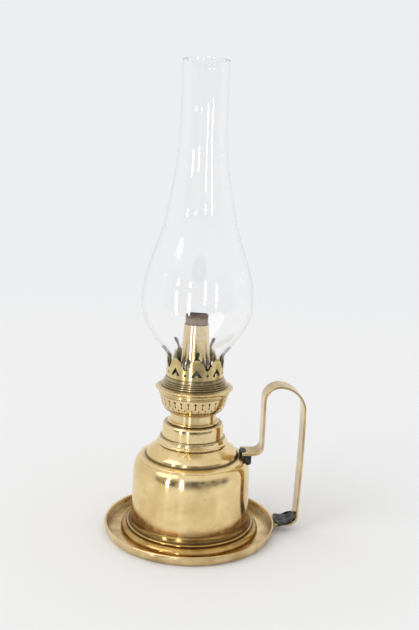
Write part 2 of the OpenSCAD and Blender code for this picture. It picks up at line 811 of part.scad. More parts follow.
module wick_tube() {
    mouth = tube_top_z;
    slot_h = wheel_d + 1.2;
    color(brass) difference() {
        rotate_extrude() polygon([
            [tube_foot_r - tube_wall, flange_z],
            [tube_foot_r, flange_z],
            [tube_foot_r, tube_cone_z],
            [tube_mouth_r, mouth],
            [tube_mouth_r - tube_wall, mouth],
            [tube_foot_r - tube_wall, tube_cone_z]
        ]);
        // Window of the air duct, at the front
        translate([-duct_w / 2, -tube_foot_r - 1, duct_z]) cube([duct_w, 5, duct_h]);
        // Slots for the feed wheels
        for (side = [-1, 1])
            translate([shaft_x - wheel_r - 1, side * wheel_pitch / 2 - wheel_t / 2 - 0.4, shaft_z - slot_h / 2])
                cube([tube_foot_r, wheel_t + 0.8, slot_h]);
    }
}

module draught_tube() {
    wall = tube_wall;
    top_z = tube_top_z - 1.2;
    color(brass) difference() {
        union() {
            translate([0, 0, duct_z - wall]) cylinder(h = top_z - duct_z + wall, r = draught_r);
            translate([-duct_w / 2, -tube_foot_r + wall, duct_z])
                cube([duct_w, tube_foot_r - wall, duct_h]);
        }
        translate([0, 0, duct_z]) cylinder(h = top_z, r = draught_r - wall);
        translate([wall - duct_w / 2, -tube_foot_r, duct_z + wall])
            cube([duct_w - 2 * wall, tube_foot_r, duct_h - 2 * wall]);
    }
}

module shaft_bracket() {
    h = 7;
    ear_x = tube_foot_r - 3;
    color(brass) difference() {
        union() {
            for (side = [-1, 1])
                translate([ear_x, side * (ear_y + ear_t / 2) - ear_t / 2, shaft_z - h / 2])
                    cube([bracket_x + ear_t - ear_x, ear_t, h]);
            translate([bracket_x, -ear_y, shaft_z - h / 2]) cube([ear_t, 2 * ear_y, h]);
        }
        shaft_bar(bearing_r, ear_y + 2);
        translate([0, 0, shaft_z - h]) cylinder(h = 2 * h, r = tube_foot_r);
    }
}

// A bar along the shaft's line, from the front ear to y
module shaft_bar(r, y) {
    translate([shaft_x, -ear_y - ear_t - 1.5, shaft_z]) rotate([-90, 0, 0])
        cylinder(h = y + ear_y + ear_t + 1.5, r = r);
}

// The bushing's body, through the back of the basket
module bushing_bar(r) {
    y0 = sqrt(pow(basket_r - 1.5, 2) - pow(shaft_x, 2)) - 3.5;
    translate([shaft_x, y0, shaft_z]) rotate([-90, 0, 0]) cylinder(h = 9, r = r);
}

module shaft_bushing() {
    color(brass) difference() {
        bushing_bar(bush_r);
        shaft_bar(bearing_r, knob_reach);
    }
}

module wick_shaft() {
    color(pale_brass) shaft_bar(shaft_r, knob_reach + knob_t);
}

module feed_wheels() {
    root_r = wheel_r - 0.9;
    half = 180 / wheel_teeth;
    star = [for (i = [0:2 * wheel_teeth - 1])
        (i % 2 == 0 ? wheel_r : root_r) * [cos(i * half), sin(i * half)]
    ];
    color(brass) for (side = [-1, 1])
        translate([shaft_x, side * wheel_pitch / 2 + wheel_t / 2, shaft_z]) rotate([90, 0, 0])
            difference() {
                linear_extrude(wheel_t) polygon(star);
                translate([0, 0, -1]) cylinder(h = wheel_t + 2, r = shaft_r);
            }
}

module wick_knob() {
    r = knob_d / 2;
    color(pale_brass) translate([shaft_x, knob_reach, shaft_z]) rotate([-90, 0, 0]) difference() {
        rotate_extrude() polygon([
            [shaft_r, 0], [2.6, 0], [2.6, 1.0], [r - 1, 1.0], [r, 1.6], [r, knob_t - 0.8],
            [r - 0.8, knob_t], [r - 2.2, knob_t], [r - 3, knob_t - 0.6], [shaft_r, knob_t - 0.6]
        ]);
        for (i = [0:knob_grooves - 1]) rotate([0, 0, i * 360 / knob_grooves])
            translate([r + 0.25, 0, -1]) cylinder(h = knob_t + 2, r = 0.65, $fn = 16);
    }
}

module knob_rivet() {
    color(brass) translate([shaft_x, knob_reach + knob_t, shaft_z]) rotate([-90, 0, 0])
        rotate_extrude() polygon([[0, 0], [shaft_r + 0.7, 0], [shaft_r + 0.5, 0.6], [0.7, 1.1], [0, 1.1]]);
}

module wick() {
    edge = 0.5;
    color(cotton) difference() {
        rotate_extrude() polygon([
            [wick_in_r, wick_tail_z], [wick_r, wick_tail_z], [wick_r, wick_top_z - edge],
            [wick_r - edge, wick_top_z], [wick_in_r + edge, wick_top_z], [wick_in_r, wick_top_z - edge]
        ]);
        // The seam where the flat wick's edges meet, at the front
        translate([-seam_w / 2, -wick_r - 1, wick_tail_z - 1])
            cube([seam_w, wick_r + 1, wick_top_z - wick_tail_z + 2]);
        // Lower down the edges part, round the air duct
        translate([0, 0, wick_tail_z - 1]) linear_extrude(wick_gap_top_z - wick_tail_z + 1)
            polygon([[0, 0], [-20, -11.5], [-20, -20], [20, -20], [20, -11.5]]);
    }
}

module glass_chimney() {
    line = concat(
        [[fitter_r, glass_z]],
        curve(glass_belly, FINE_STEPS),
        tail(curve(glass_shoulder, FINE_STEPS)),
        tail(curve(glass_throat, FINE_STEPS)),
        [[mouth_r, glass_top_z]]
    );
    color(clear_glass, 0.35) spun(line, glass_t);
}

saucer_dish();
saucer_rim();
foot_moulding();
font_floor();
font_drum();
font_cover();
collar_base();
collar();
handle();
handle_solder_top();
handle_solder_foot();
burner_base();
burner_neck();
air_basket();
burner_band();
gallery_ring();
crown();
spring_ring();
wick_tube();
draught_tube();
shaft_bracket();
shaft_bushing();
wick_shaft();
feed_wheels();
wick_knob();
knob_rivet();
wick();
glass_chimney();
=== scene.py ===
"""The looks of a kerosene hand lamp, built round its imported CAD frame.

The lamp stands on the ground at the origin, +Z is up and the handle is on the +X side.
Sizes are in millimetres, as in the part's source, and become metres when a mesh is made.
"""

import bmesh
import json
import logging
import math
from collections.abc import Callable, Sequence
from dataclasses import dataclass
from enum import Enum

import bpy
import numpy as np
from mathutils import Matrix, Vector

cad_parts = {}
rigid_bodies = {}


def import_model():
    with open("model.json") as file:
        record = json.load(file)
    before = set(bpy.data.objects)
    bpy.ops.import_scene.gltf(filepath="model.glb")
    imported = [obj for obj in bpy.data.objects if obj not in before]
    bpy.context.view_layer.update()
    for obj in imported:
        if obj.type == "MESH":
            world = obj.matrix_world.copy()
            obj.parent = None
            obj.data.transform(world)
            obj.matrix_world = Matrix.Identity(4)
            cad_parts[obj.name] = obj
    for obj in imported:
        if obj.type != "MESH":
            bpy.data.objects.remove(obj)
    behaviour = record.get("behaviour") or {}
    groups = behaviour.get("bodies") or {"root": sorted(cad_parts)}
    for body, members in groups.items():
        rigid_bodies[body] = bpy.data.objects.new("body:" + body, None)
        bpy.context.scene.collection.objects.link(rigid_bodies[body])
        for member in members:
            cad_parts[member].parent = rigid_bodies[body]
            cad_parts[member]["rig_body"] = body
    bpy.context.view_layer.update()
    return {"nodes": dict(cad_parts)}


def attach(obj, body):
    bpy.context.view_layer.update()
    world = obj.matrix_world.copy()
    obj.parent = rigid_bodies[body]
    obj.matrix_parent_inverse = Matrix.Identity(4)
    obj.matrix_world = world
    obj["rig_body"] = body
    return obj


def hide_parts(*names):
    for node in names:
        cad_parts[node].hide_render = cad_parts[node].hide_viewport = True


for stray in list(bpy.data.objects):
    bpy.data.objects.remove(stray)
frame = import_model()

LOG = logging.getLogger("lamp")
MM = 0.001
TURN = 2 * math.pi
Push = Callable[[np.ndarray, np.ndarray, np.ndarray], tuple[np.ndarray, np.ndarray]]
Waves = Sequence[tuple[int, float, float, float]]

# Heights in mm where two pieces meet, darkened as dirt and as painted shade
CREVICES = (12.6, 67.5, 72.4, 82.8, 90.5, 104.2, 110.3, 117.1)
# Height in mm that the ramp of dirt and painted shade spans, and half the width of each dark line
CREVICE_SPAN = 140.0
CREVICE_HALF = 0.6
# A quarter turn lays the highlight across the lines that run round the axis
GROOVE_TURN = 0.25


# Lines and surfaces

def bezier(controls: Sequence[tuple[float, float]], steps: int = 28) -> np.ndarray:
    """A cubic curve: the four controls weighted by Bernstein's polynomials of t.

    Args:
        controls: four points.
        steps: number of equal steps of t.
    Returns:
        steps + 1 points.
    """
    t = np.linspace(0, 1, steps + 1)[:, None]
    c = np.asarray(controls, float)
    return (1 - t)**3 * c[0] + 3 * t * (1 - t)**2 * c[1] + 3 * t**2 * (1 - t) * c[2] + t**3 * c[3]


def arc(mid: tuple[float, float], r: float, start: float, end: float, steps: int = 16) -> np.ndarray:
    """Points on a circle: the middle plus r times cosine and sine of the angle.

    Args:
        mid: the circle's middle.
        r: its radius.
        start: first angle, in degrees.
        end: last angle, in degrees.
        steps: number of equal steps.
    Returns:
        steps + 1 points.
    """
    t = np.radians(np.linspace(start, end, steps + 1))[:, None]
    return np.asarray(mid, float) + r * np.hstack([np.cos(t), np.sin(t)])


def joined(*parts: np.ndarray | Sequence[tuple[float, float]]) -> np.ndarray:
    """Puts stretches of a line end to end and drops points that fall on the one before.

    Args:
        parts: the stretches, in order.
    Returns:
        one line of points.
    """
    p = np.vstack([np.atleast_2d(np.asarray(part, float)) for part in parts])
    return p[np.r_[True, np.linalg.norm(np.diff(p, axis=0), axis=1) > 1e-6]]


def left_of(v: np.ndarray) -> np.ndarray:
    """Each direction turned a quarter to the left."""
    return np.column_stack([-v[:, 1], v[:, 0]])


def beside(path: np.ndarray, t: float) -> np.ndarray:
    """The other side of a sheet: each point moves along the mitre of its two neighbours' normals.

    Args:
        path: one side of the sheet.
        t: thickness, to the left of the path.
    Returns:
        as many points as the path has.
    """
    d = np.diff(path, axis=0)
    d /= np.linalg.norm(d, axis=1)[:, None]
    back, ahead = np.vstack([d[:1], d]), np.vstack([d, d[-1:]])
    return path + t * (left_of(back) + left_of(ahead)) / (1 + (back * ahead).sum(1))[:, None]


def spaced(path: np.ndarray, step: float) -> np.ndarray:
    """A line with equal steps: its points are looked up at equal lengths along it.

    Args:
        path: the line.
        step: the wanted step.
    Returns:
        the evenly spaced points.
    """
    length = np.r_[0, np.cumsum(np.linalg.norm(np.diff(path, axis=0), axis=1))]
    at = np.linspace(0, length[-1], int(np.ceil(length[-1] / step)) + 1)
    return np.column_stack([np.interp(at, length, path[:, k]) for k in (0, 1)])


def eased(path: np.ndarray, closed: bool, ease: float = 0.25, step: float = 1.6,
          turn: float = 9.0) -> np.ndarray:
    """Rounds a section's corners and spaces its points.

    The line is cut into short steps and each point is averaged with its neighbours six times.
    Points are then kept at equal sums of length over step and of bend over turn.

    Args:
        path: the section's line.
        closed: whether its end joins its start.
        ease: about the radius that a corner gets, in mm.
        step: longest step, in mm.
        turn: largest bend between points, in degrees.
    Returns:
        the section's points, the first not repeated at the end.
    """
    fine = spaced(np.vstack([path, path[:1]]) if closed else path, 0.4 * ease)
    for _ in range(6):
        if closed:
            ring = fine[:-1]
            ring = 0.25 * np.roll(ring, 1, 0) + 0.5 * ring + 0.25 * np.roll(ring, -1, 0)
            fine = np.vstack([ring, ring[:1]])
        else:
            fine[1:-1] = 0.25 * fine[:-2] + 0.5 * fine[1:-1] + 0.25 * fine[2:]
    d = np.diff(fine, axis=0)
    heading = np.unwrap(np.arctan2(d[:, 1], d[:, 0]))
    bend = np.r_[np.abs(np.diff(heading)), 0]
    measure = np.r_[0, np.cumsum(np.linalg.norm(d, axis=1) / step + np.degrees(bend) / turn)]
    at = np.linspace(0, measure[-1], int(np.ceil(measure[-1])) + 1)
    kept = np.column_stack([np.interp(at, measure, fine[:, k]) for k in (0, 1)])
    return kept[:-1] if closed else kept


def outward(path: np.ndarray) -> np.ndarray:
    """A section turned so that it runs counter-clockwise, which puts its outside on the right."""
    x, z = path[:, 0], path[:, 1]
    return path if (x * np.roll(z, -1) - np.roll(x, -1) * z).sum() > 0 else path[::-1]


def bend_marks(line: np.ndarray) -> tuple[np.ndarray, np.ndarray]:
    """How hollow and how sharp a section is at each point: its turn in radians per mm, blurred.

    Args:
        line: a counter-clockwise section.
    Returns:
        hollow and sharp, each from 0 to 1.
    """
    d = np.roll(line, -1, 0) - line
    heading = np.arctan2(d[:, 1], d[:, 0])
    turn = (heading - np.roll(heading, 1) + math.pi) % TURN - math.pi
    size = np.linalg.norm(d, axis=1)
    bend = turn / np.maximum(0.5 * (size + np.roll(size, 1)), 1e-3)
    for _ in range(3):
        bend = 0.25 * np.roll(bend, 1) + 0.5 * bend + 0.25 * np.roll(bend, -1)
    return np.clip(-bend / 0.5, 0, 1), np.clip(bend / 1.6, 0, 1)


def smooth(x: np.ndarray) -> np.ndarray:
    """Three x squared less two x cubed, between 0 and 1."""
    x = np.clip(x, 0, 1)
    return x * x * (3 - 2 * x)


def ripple(angle: np.ndarray, along: np.ndarray, waves: Waves) -> np.ndarray:
    """A sum of sine waves that close round the axis.

    Args:
        angle: angle round the axis.
        along: place along the section, in mm.
        waves: crests round the axis, crests per mm, phase, and height in mm, for each wave.
    Returns:
        the height at each point, in mm.
    """
    return sum(size * np.sin(crests * angle + TURN * pitch * along + phase)
               for crests, pitch, phase, size in waves)


def dents(angle: np.ndarray, radius: np.ndarray, height: np.ndarray,
          marks: Sequence[tuple[float, float, float, float, float]]) -> np.ndarray:
    """Small dents: round bells in the angle and height, pushed in.

    Args:
        angle: angle round the axis.
        radius: radius in mm.
        height: height in mm.
        marks: angle in degrees, height, depth, width and tallness in mm, for each dent.
    Returns:
        the push outwards in mm, below 0.
    """
    total = np.zeros_like(angle)
    for turn, z, deep, wide, tall in marks:
        aside = ((angle - math.radians(turn) + math.pi) % TURN - math.pi) * radius
        total -= deep * np.exp(-(aside / wide)**2 - ((height - z) / tall)**2)
    return total


def make_piece(name: str, points: np.ndarray, quads: np.ndarray,
               caps: Sequence[Sequence[int]] = (), marks: dict[str, np.ndarray] | None = None,
               weld: bool = False) -> bpy.types.Object:
    """Makes a smooth mesh object from points in mm, and turns it right side out.

    The signed volume is the sum of a . (b x c) over the triangles. Where it is below 0,
    every face is turned round.

    Args:
        name: the piece's name.
        points: its points, in mm.
        quads: four point numbers a face.
        caps: further faces, such as the ends of a strap.
        marks: named values, one a point.
        weld: whether points on one place become one, as at a pole.
    Returns:
        the new object.
    """
    points = points.reshape(-1, 3)
    ends = [np.array([[c[0], c[i], c[i + 1]] for i in range(1, len(c) - 1)]) for c in caps]
    tris = np.vstack([quads[:, [0, 1, 2]], quads[:, [0, 2, 3]], *ends])
    a, b, c = (points[tris[:, k]] for k in range(3))
    faces = quads.tolist() + [list(cap) for cap in caps]
    if np.einsum("ij,ij->i", a, np.cross(b, c)).sum() < 0:
        faces = [face[::-1] for face in faces]
    mesh = bpy.data.meshes.new(name)
    mesh.from_pydata((points * MM).tolist(), [], faces)
    for mark, values in (marks or {}).items():
        layer = mesh.attributes.new(mark, "FLOAT", "POINT")
        layer.data.foreach_set("value", np.ascontiguousarray(values, np.float32).ravel())
    if weld:
        work = bmesh.new()
        work.from_mesh(mesh)
        bmesh.ops.remove_doubles(work, verts=work.verts, dist=1e-6)
        work.to_mesh(mesh)
        work.free()
    mesh.polygons.foreach_set("use_smooth", np.ones(len(mesh.polygons), bool))
    mesh.set_sharp_from_angle(angle=math.radians(55))
    mesh.update()
    piece = bpy.data.objects.new(name, mesh)
    bpy.context.scene.collection.objects.link(piece)
    return piece


def revolved(name: str, section: np.ndarray, closed: bool = True, steps: int = 240,
             push: Push | None = None, ease: float = 0.25) -> bpy.types.Object:
    """A turned piece: each point of the section goes round the axis, moved by push.

    The point is (r cos a, r sin a, z), with r and z from the section plus push(a, r, z).

    Args:
        name: the piece's name.
        section: line of radius and height, in mm.
        closed: False where both ends of the line lie on the axis.
        steps: steps round the axis.
        push: how far each point moves out and up.
        ease: radius of the corners, in mm.
    Returns:
        the new object.
    """
    line = outward(eased(section, closed, ease))
    count = len(line)
    angle, radius = np.meshgrid(np.linspace(0, TURN, steps, endpoint=False), line[:, 0], indexing="ij")
    height = np.tile(line[:, 1], (steps, 1))
    if push is not None:
        out, up = push(angle, radius, height)
        share = np.clip(radius / 5, 0, 1)
        radius, height = radius + share * out, height + share * up
    points = np.stack([radius * np.cos(angle), radius * np.sin(angle), height], axis=-1)
    j, i = np.meshgrid(np.arange(steps), np.arange(count if closed else count - 1), indexing="ij")
    j1, i1 = (j + 1) % steps, (i + 1) % count
    quads = np.stack([j * count + i, j1 * count + i, j1 * count + i1, j * count + i1], axis=-1).reshape(-1, 4)
    hollow, sharp = bend_marks(line)
    # The first mark is the section's hollows, darkened as dirt and as painted shade; the second is its sharp
    # edges, rubbed clean
    marks = {"grime_and_shade": np.tile(hollow, steps), "wear": np.tile(sharp, steps)}
    return make_piece(name, points, quads, marks=marks, weld=not closed)


def lofted(name: str, rings: np.ndarray) -> bpy.types.Object:
    """A closed skin over rings of points, with a flat cap at each end.

    Args:
        name: the piece's name.
        rings: points of shape rings by ring points by 3, in mm.
    Returns:
        the new object.
    """
    m, s = rings.shape[:2]
    i, j = np.meshgrid(np.arange(m - 1), np.arange(s), indexing="ij")
    j1 = (j + 1) % s
    quads = np.stack([i * s + j, i * s + j1, (i + 1) * s + j1, (i + 1) * s + j], axis=-1).reshape(-1, 4)
    caps = [list(range(s))[::-1], list(range((m - 1) * s, m * s))]
    return make_piece(name, rings, quads, caps)


def walled(name: str, outer: np.ndarray, inner: np.ndarray, marks: dict[str, np.ndarray]) -> bpy.types.Object:
    """A thick cloth between two grids of points, closed along its four borders.

    Args:
        name: the piece's name.
        outer: rows by columns by 3 points, in mm.
        inner: as many points, behind them.
        marks: named values, one for each point of one grid.
    Returns:
        the new object.
    """
    m, k = outer.shape[:2]
    o = np.arange(m * k).reshape(m, k)
    n = o + m * k
    quads = [
        (o[:-1, :-1], o[:-1, 1:], o[1:, 1:], o[1:, :-1]),
        (n[:-1, :-1], n[1:, :-1], n[1:, 1:], n[:-1, 1:]),
        (o[-1, :-1], o[-1, 1:], n[-1, 1:], n[-1, :-1]),
        (o[0, 1:], o[0, :-1], n[0, :-1], n[0, 1:]),
        (o[:-1, 0], o[1:, 0], n[1:, 0], n[:-1, 0]),
        (o[1:, -1], o[:-1, -1], n[:-1, -1], n[1:, -1]),
    ]
    faces = np.vstack([np.stack(four, axis=-1).reshape(-1, 4) for four in quads])
    both = {mark: np.concatenate([values.ravel(), values.ravel()]) for mark, values in marks.items()}
    return make_piece(name, np.vstack([outer.reshape(-1, 3), inner.reshape(-1, 3)]), faces, marks=both)


# Finishes

def paint(code: str) -> tuple[float, float, float, float]:
    """An sRGB hex colour as linear numbers with an alpha of 1."""
    channels = [int(code[k:k + 2], 16) / 255 for k in (1, 3, 5)]
    linear = [c / 12.92 if c <= 0.04045 else ((c + 0.055) / 1.055)**2.4 for c in channels]
    return (*linear, 1.0)


def plug(tree: bpy.types.NodeTree, node: bpy.types.Node, inputs: dict) -> None:
    """Links or sets a node's inputs.

    Args:
        tree: the node tree.
        node: the node.
        inputs: socket name or number, with a socket to link from or a value.
    """
    for key, value in inputs.items():
        if isinstance(value, bpy.types.NodeSocket):
            tree.links.new(value, node.inputs[key])
        else:
            node.inputs[key].default_value = value


def add(tree: bpy.types.NodeTree, kind: str, inputs: dict | None = None,
        **settings: object) -> bpy.types.Node:
    """Adds a node with its settings and links.

    Args:
        tree: the node tree.
        kind: the node's type.
        inputs: as in plug.
        settings: the node's own properties.
    Returns:
        the node.
    """
    node = tree.nodes.new(kind)
    for key, value in settings.items():
        setattr(node, key, value)
    plug(tree, node, inputs or {})
    return node


def begin(name: str) -> tuple[bpy.types.Material, bpy.types.NodeTree, bpy.types.Node, bpy.types.NodeSocket]:
    """Starts a material: the material, its tree, its shader and the place on the object."""
    material = bpy.data.materials.new(name)
    material.use_nodes = True
    tree = material.node_tree
    tree.nodes.clear()
    shader = add(tree, "ShaderNodeBsdfPrincipled")
    add(tree, "ShaderNodeOutputMaterial", {"Surface": shader.outputs[0]})
    return material, tree, shader, add(tree, "ShaderNodeTexCoord").outputs["Object"]


class Grain(Enum):
    """Which way a metal's polishing lines run."""

    ROUND = "round the lamp's axis"
    ALONG = "along the strap"
    NONE = "none"


@dataclass(frozen=True)
class Brass:
    """Sheet brass, spun or rolled and once polished: cloudy tarnish, specks, and soiling with painted shade in
    its corners.
    """

    name: str
    clean: str = "#f7dda6"
    tarnish: str = "#d3b473"
    # Dark brown for specks and dirt, and for the painted shade in hollows and at joints
    dirt_and_shade: str = "#54401f"
    cloud: float = 0.6
    gloss: float = 0.12
    dull: float = 0.22
    grain: Grain = Grain.ROUND
    crevices: tuple[float, ...] = CREVICES
    cloud_mm: float = 22.0
    speck_mm: float = 1.7
    smudge_mm: float = 13.0
    # Real polishing lines are about 0.05 mm apart; they are drawn 0.9 mm apart so that they show
    line_mm: float = 0.9

    def crevice_dirt_and_shade(self, tree: bpy.types.NodeTree, height: bpy.types.NodeSocket) -> bpy.types.NodeSocket:
        """A ramp over the height that is white at each joint of two pieces, where soiling and painted shade
        darken the brass.

        Args:
            tree: the node tree.
            height: the height in metres.
        Returns:
            the ramp's output.
        """
        share = add(tree, "ShaderNodeMath", {0: height, 1: 1 / (CREVICE_SPAN * MM)}, operation="MULTIPLY")
        node = add(tree, "ShaderNodeValToRGB", {"Fac": share.outputs[0]})
        stops = node.color_ramp.elements
        stops[1].color = (0, 0, 0, 1)
        for z in self.crevices:
            for aside, tone in ((-CREVICE_HALF, 0.0), (0.0, 1.0), (CREVICE_HALF, 0.0)):
                stops.new((z + aside) / CREVICE_SPAN).color = (tone, tone, tone, 1)
        return node.outputs[0]

    def lines(self, tree: bpy.types.NodeTree, at: bpy.types.NodeSocket) -> bpy.types.NodeSocket:
        """The place where the polishing lines are looked up, stretched along their run.

        Args:
            tree: the node tree.
            at: the place on the object.
        Returns:
            a vector.
        """
        if self.grain is Grain.ROUND:
            part = add(tree, "ShaderNodeSeparateXYZ", {0: at}).outputs
            flat = add(tree, "ShaderNodeCombineXYZ", {0: part[0], 1: part[1]})
            radius = add(tree, "ShaderNodeVectorMath", {0: flat.outputs[0]},
                         operation="LENGTH").outputs["Value"]
            drift = add(tree, "ShaderNodeMath", {0: part[0], 1: 0.04}, operation="MULTIPLY").outputs[0]
            return add(tree, "ShaderNodeCombineXYZ", {0: radius, 1: drift, 2: part[2]}).outputs[0]
        run = (0.08, 1.0, 0.08) if self.grain is Grain.ALONG else (1.0, 1.0, 1.0)
        return add(tree, "ShaderNodeVectorMath", {0: at, 1: run}, operation="MULTIPLY").outputs[0]

    def build(self) -> bpy.types.Material:
        """Makes the material.

        Returns:
            the material.
        """
        material, tree, shader, at = begin(self.name)
        cloud = add(tree, "ShaderNodeTexNoise", {
            "Vector": at, "Scale": 1 / (self.cloud_mm * MM), "Detail": 5.0, "Roughness": 0.62,
            "Distortion": 0.5})
        speck = add(tree, "ShaderNodeTexNoise", {
            "Vector": at, "Scale": 1 / (self.speck_mm * MM), "Detail": 2.0})
        smudge = add(tree, "ShaderNodeTexNoise", {
            "Vector": at, "Scale": 1 / (self.smudge_mm * MM), "Detail": 4.0, "Distortion": 1.2})
        line = add(tree, "ShaderNodeTexNoise", {
            "Vector": self.lines(tree, at), "Scale": 1 / (self.line_mm * MM), "Detail": 3.0})
        old = add(tree, "ShaderNodeMapRange", {
            "Value": cloud.outputs[0], "From Min": 0.36, "From Max": 0.64, "To Max": self.cloud})
        spots = add(tree, "ShaderNodeMapRange", {
            "Value": speck.outputs[0], "From Min": 0.71, "From Max": 0.77, "To Max": 0.5})
        # The section's hollows, darkened as dirt and as painted shade
        hollow = add(tree, "ShaderNodeAttribute", attribute_name="grime_and_shade").outputs["Fac"]
        sharp = add(tree, "ShaderNodeAttribute", attribute_name="wear").outputs["Fac"]
        dirt_and_shade = add(tree, "ShaderNodeMath", {0: hollow, 1: spots.outputs[0]}, operation="MAXIMUM").outputs[0]
        if self.crevices:
            height = add(tree, "ShaderNodeSeparateXYZ", {0: at}).outputs[2]
            dirt_and_shade = add(tree, "ShaderNodeMath", {0: dirt_and_shade, 1: self.crevice_dirt_and_shade(tree, height)},
                       operation="MAXIMUM").outputs[0]
        dirt_and_shade = add(tree, "ShaderNodeMath", {0: dirt_and_shade, 1: 0.88}, operation="MULTIPLY").outputs[0]
        tone = add(tree, "ShaderNodeMix", {0: old.outputs[0], 6: paint(self.clean), 7: paint(self.tarnish)},
                   data_type="RGBA")
        rubbed = add(tree, "ShaderNodeMath", {0: sharp, 1: 0.6}, operation="MULTIPLY")
        tone = add(tree, "ShaderNodeMix", {0: rubbed.outputs[0], 6: tone.outputs[2], 7: paint(self.clean)},
                   data_type="RGBA")
        # Darkens the specks with dirt, and the hollows and joints with dirt and painted shade
        tone = add(tree, "ShaderNodeMix", {0: dirt_and_shade, 6: tone.outputs[2], 7: paint(self.dirt_and_shade)}, data_type="RGBA")
        rough = add(tree, "ShaderNodeMapRange", {
            "Value": smudge.outputs[0], "From Min": 0.35, "From Max": 0.65,
            "To Min": self.gloss, "To Max": self.dull})
        rough = add(tree, "ShaderNodeMath", {0: dirt_and_shade, 1: 0.3, 2: rough.outputs[0]}, operation="MULTIPLY_ADD")
        bump = add(tree, "ShaderNodeBump", {"Strength": 0.3, "Distance": 0.02 * MM, "Height": line.outputs[0]})
        plug(tree, shader, {"Base Color": tone.outputs[2], "Metallic": 1.0, "Roughness": rough.outputs[0],
                            "Normal": bump.outputs[0]})
        if self.grain is Grain.ROUND:
            plug(tree, shader, {"Anisotropic": 0.8, "Anisotropic Rotation": GROOVE_TURN})
        return material


@dataclass(frozen=True)
class DullMetal:
    """Metal that was dipped or left to oxidise: mottled, pitted and only half shiny."""

    name: str
    light: str
    dark: str
    gloss: float
    dull: float
    mottle_mm: float
    pit_mm: float
    relief_mm: float

    def build(self) -> bpy.types.Material:
        """Makes the material.

        Returns:
            the material.
        """
        material, tree, shader, at = begin(self.name)
        mottle = add(tree, "ShaderNodeTexNoise", {
            "Vector": at, "Scale": 1 / (self.mottle_mm * MM), "Detail": 5.0, "Roughness": 0.65})
        pits = add(tree, "ShaderNodeTexNoise", {"Vector": at, "Scale": 1 / (self.pit_mm * MM), "Detail": 3.0})
        share = add(tree, "ShaderNodeMapRange", {
            "Value": mottle.outputs[0], "From Min": 0.38, "From Max": 0.62})
        tone = add(tree, "ShaderNodeMix", {0: share.outputs[0], 6: paint(self.light), 7: paint(self.dark)},
                   data_type="RGBA")
        rough = add(tree, "ShaderNodeMapRange", {
            "Value": mottle.outputs[0], "From Min": 0.35, "From Max": 0.65,
            "To Min": self.gloss, "To Max": self.dull})
        bump = add(tree, "ShaderNodeBump", {
            "Strength": 0.6, "Distance": self.relief_mm * MM, "Height": pits.outputs[0]})
        plug(tree, shader, {"Base Color": tone.outputs[2], "Metallic": 1.0, "Roughness": rough.outputs[0],
                            "Normal": bump.outputs[0]})
        return material


@dataclass(frozen=True)
class WovenCotton:
    """Woven cotton wick: fuzzy and matt, soaked to a tan, scorched to a dark red-brown at its rim."""

    name: str = "woven_cotton"
    yarn: str = "#b5a08b"
    shade: str = "#8b7664"
    ember: str = "#8a6650"
    char: str = "#684c40"
    fibre_mm: float = 0.8

    def build(self) -> bpy.types.Material:
        """Makes the material.

        Returns:
            the material.
        """
        material, tree, shader, at = begin(self.name)
        fibre = add(tree, "ShaderNodeTexNoise", {
            "Vector": at, "Scale": 1 / (self.fibre_mm * MM), "Detail": 5.0, "Roughness": 0.7})
        burnt = add(tree, "ShaderNodeAttribute", attribute_name="char").outputs["Fac"]
        yarn = add(tree, "ShaderNodeMix", {0: fibre.outputs[0], 6: paint(self.yarn), 7: paint(self.shade)},
                   data_type="RGBA")
        singed = add(tree, "ShaderNodeMapRange", {"Value": burnt, "From Min": 0.15, "From Max": 0.6})
        black = add(tree, "ShaderNodeMapRange", {"Value": burnt, "From Min": 0.65, "From Max": 1.0})
        tone = add(tree, "ShaderNodeMix", {0: singed.outputs[0], 6: yarn.outputs[2], 7: paint(self.ember)},
                   data_type="RGBA")
        tone = add(tree, "ShaderNodeMix", {0: black.outputs[0], 6: tone.outputs[2], 7: paint(self.char)},
                   data_type="RGBA")
        bump = add(tree, "ShaderNodeBump", {
            "Strength": 0.8, "Distance": 0.15 * MM, "Height": fibre.outputs[0]})
        plug(tree, shader, {"Base Color": tone.outputs[2], "Roughness": 0.95, "Sheen Weight": 0.25,
                            "Normal": bump.outputs[0]})
        return material


@dataclass(frozen=True)
class BlownGlass:
    """Blown soda-lime glass: clear, hardly green, with faint smudges and long soft waves."""

    name: str = "blown_glass"
    tint: str = "#ffffff"
    smudge_mm: float = 26.0
    wave_mm: float = 34.0

    def build(self) -> bpy.types.Material:
        """Makes the material.

        Returns:
            the material.
        """
        material, tree, shader, at = begin(self.name)
        smudge = add(tree, "ShaderNodeTexNoise", {
            "Vector": at, "Scale": 1 / (self.smudge_mm * MM), "Detail": 4.0, "Distortion": 1.0})
        wave = add(tree, "ShaderNodeTexNoise", {"Vector": at, "Scale": 1 / (self.wave_mm * MM), "Detail": 1.0})
        rough = add(tree, "ShaderNodeMapRange", {
            "Value": smudge.outputs[0], "From Min": 0.45, "From Max": 0.75, "To Min": 0.0, "To Max": 0.03})
        bump = add(tree, "ShaderNodeBump", {"Strength": 0.05, "Distance": 0.3 * MM, "Height": wave.outputs[0]})
        plug(tree, shader, {"Base Color": paint(self.tint), "Roughness": rough.outputs[0], "IOR": 1.52,
                            "Transmission Weight": 1.0, "Normal": bump.outputs[0]})
        return material


# Sheet brass spun on a lathe and polished: a warm mirror whose fine rings draw each highlight out upwards
SPUN = Brass("spun_brass")
# Pressed brass that is handled and stood in: duller, with brown clouds
PAN = Brass("pan_brass", clean="#eed5a4", tarnish="#b39259", cloud=0.85, gloss=0.14, dull=0.3)
